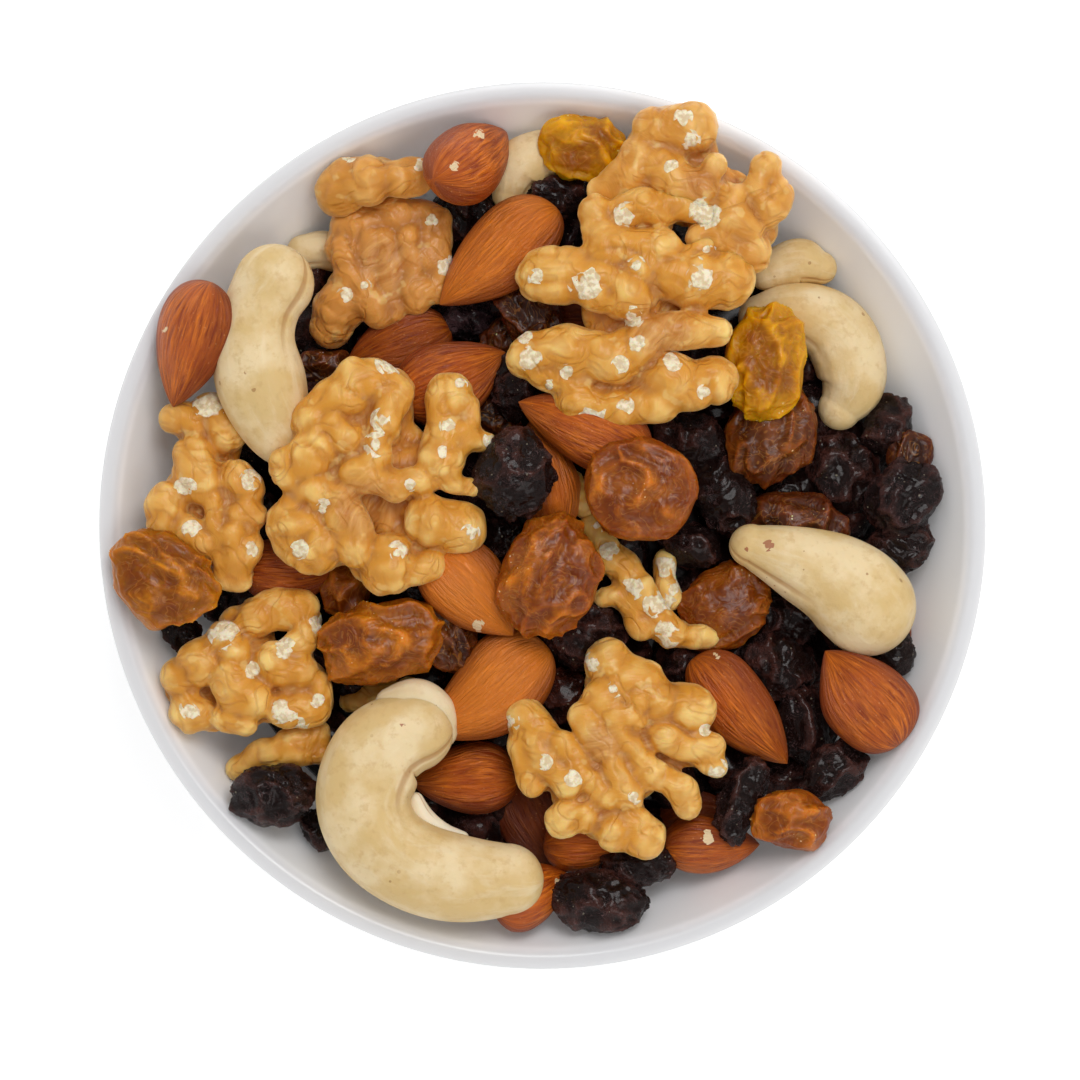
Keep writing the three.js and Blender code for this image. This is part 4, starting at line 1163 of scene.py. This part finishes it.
pile = Pile()
profile = core_profile()
# The dome has the dark fruit's darkest colour (crest 0.2). It stands for fruit further down, and its darkness
# is also painted shade for the deep gaps.
pile.add_rings(turned(profile), [0, 0, profile[0, 1]], [0, 0, profile[-1, 1]], crest=0.2, tone=0.0)
for number in range(UNDER):
    radius = UNDER_REACH * np.sqrt((number + 0.5) / UNDER)
    angle = number * GOLDEN_ANGLE
    size = rng.uniform(0.85, 1.15)
    row = [PLAN_X + radius * np.cos(angle) / GRID, PLAN_Y + radius * np.sin(angle) / GRID,
           dome_height(radius) + 1.2 - RIM_HEIGHT, *(side * size for side in UNDER_SIZE),
           rng.uniform(0, 360), rng.uniform(-20, 20), rng.uniform(-20, 20)]
    points, crest, _ = raisin(row, 20, 26, number + 200, DARK_FOLDS[:2])
    pile.add(points, *ring_faces(20, 26), crest=crest, tone=float(rng.uniform(-0.3, 0.3)))
core = pile.build("fruit_below", dark_flesh)

# %% [markdown]
# ## Floor, light and camera
# A pale floor, a white surround and two soft lamps. The camera looks straight down.

# %% Stage
floor_material, tree, shader = material("pale_floor")
finish_sockets(tree, shader, Base_Color=(0.95, 0.95, 0.95, 1), Roughness=0.9, Specular_IOR_Level=0.1,
               Emission_Color=(1, 1, 1, 1), Emission_Strength=0.40)
mesh = bpy.data.meshes.new("floor")
reach = 1.5  # metres from the axis to the floor's edge
corners = [(-reach, -reach, 0), (reach, -reach, 0), (reach, reach, 0), (-reach, reach, 0)]
mesh.from_pydata(corners, [], [(0, 1, 2, 3)])
mesh.materials.append(floor_material)
floor = bpy.data.objects.new("floor", mesh)
bpy.context.scene.collection.objects.link(floor)

scene = bpy.context.scene
world = bpy.data.worlds.new("surround")
world.use_nodes = True
tree = world.node_tree
spot = add(tree, "ShaderNodeTexCoord").outputs["Generated"]
upward = add(tree, "ShaderNodeSeparateXYZ", Vector=spot).outputs["Z"]
glow = add(tree, "ShaderNodeMapRange", i0=upward, i1=0.10, i2=0.90, i3=0.90, i4=0.28)
tree.links.new(glow.outputs[0], tree.nodes["Background"].inputs["Strength"])
tree.nodes["Background"].inputs["Color"].default_value = (1, 1, 1, 1)
scene.world = world


def softbox(name, place, aim, size, power):
    """A square area lamp at a place, aimed at a point."""
    lamp = bpy.data.lights.new(name, "AREA")
    lamp.size = size
    lamp.energy = power
    made = bpy.data.objects.new(name, lamp)
    scene.collection.objects.link(made)
    made.location = place
    away = np.array(place, dtype=float) - np.array(aim, dtype=float)
    flat = np.hypot(away[0], away[1])
    heading = np.arctan2(away[1], away[0]) + np.pi / 2
    made.rotation_euler = (float(np.arctan2(flat, away[2])), 0, float(heading))
    return made


softbox("key", (0.14, 0.34, 0.82), (0, 0, 0.05), 0.40, 3.2)
softbox("fill", (0.30, -0.30, 0.80), (0, 0, 0.05), 0.40, 1.0)

# %% Camera
FRAME_WIDE = 1080 * GRID * MM
camera = bpy.data.cameras.new("camera")
camera.sensor_width = 36.0
camera.lens = 36.0 * (EYE * MM) / FRAME_WIDE
camera.clip_start = 0.05
camera_object = bpy.data.objects.new("camera", camera)
scene.collection.objects.link(camera_object)
camera_object.location = (-2.5 * GRID * MM, -14.5 * GRID * MM, (RIM_HEIGHT + EYE) * MM)
scene.camera = camera_object
scene.view_settings.view_transform = "Standard"
print("camera", tuple(camera_object.location), "lens", round(camera.lens, 1))
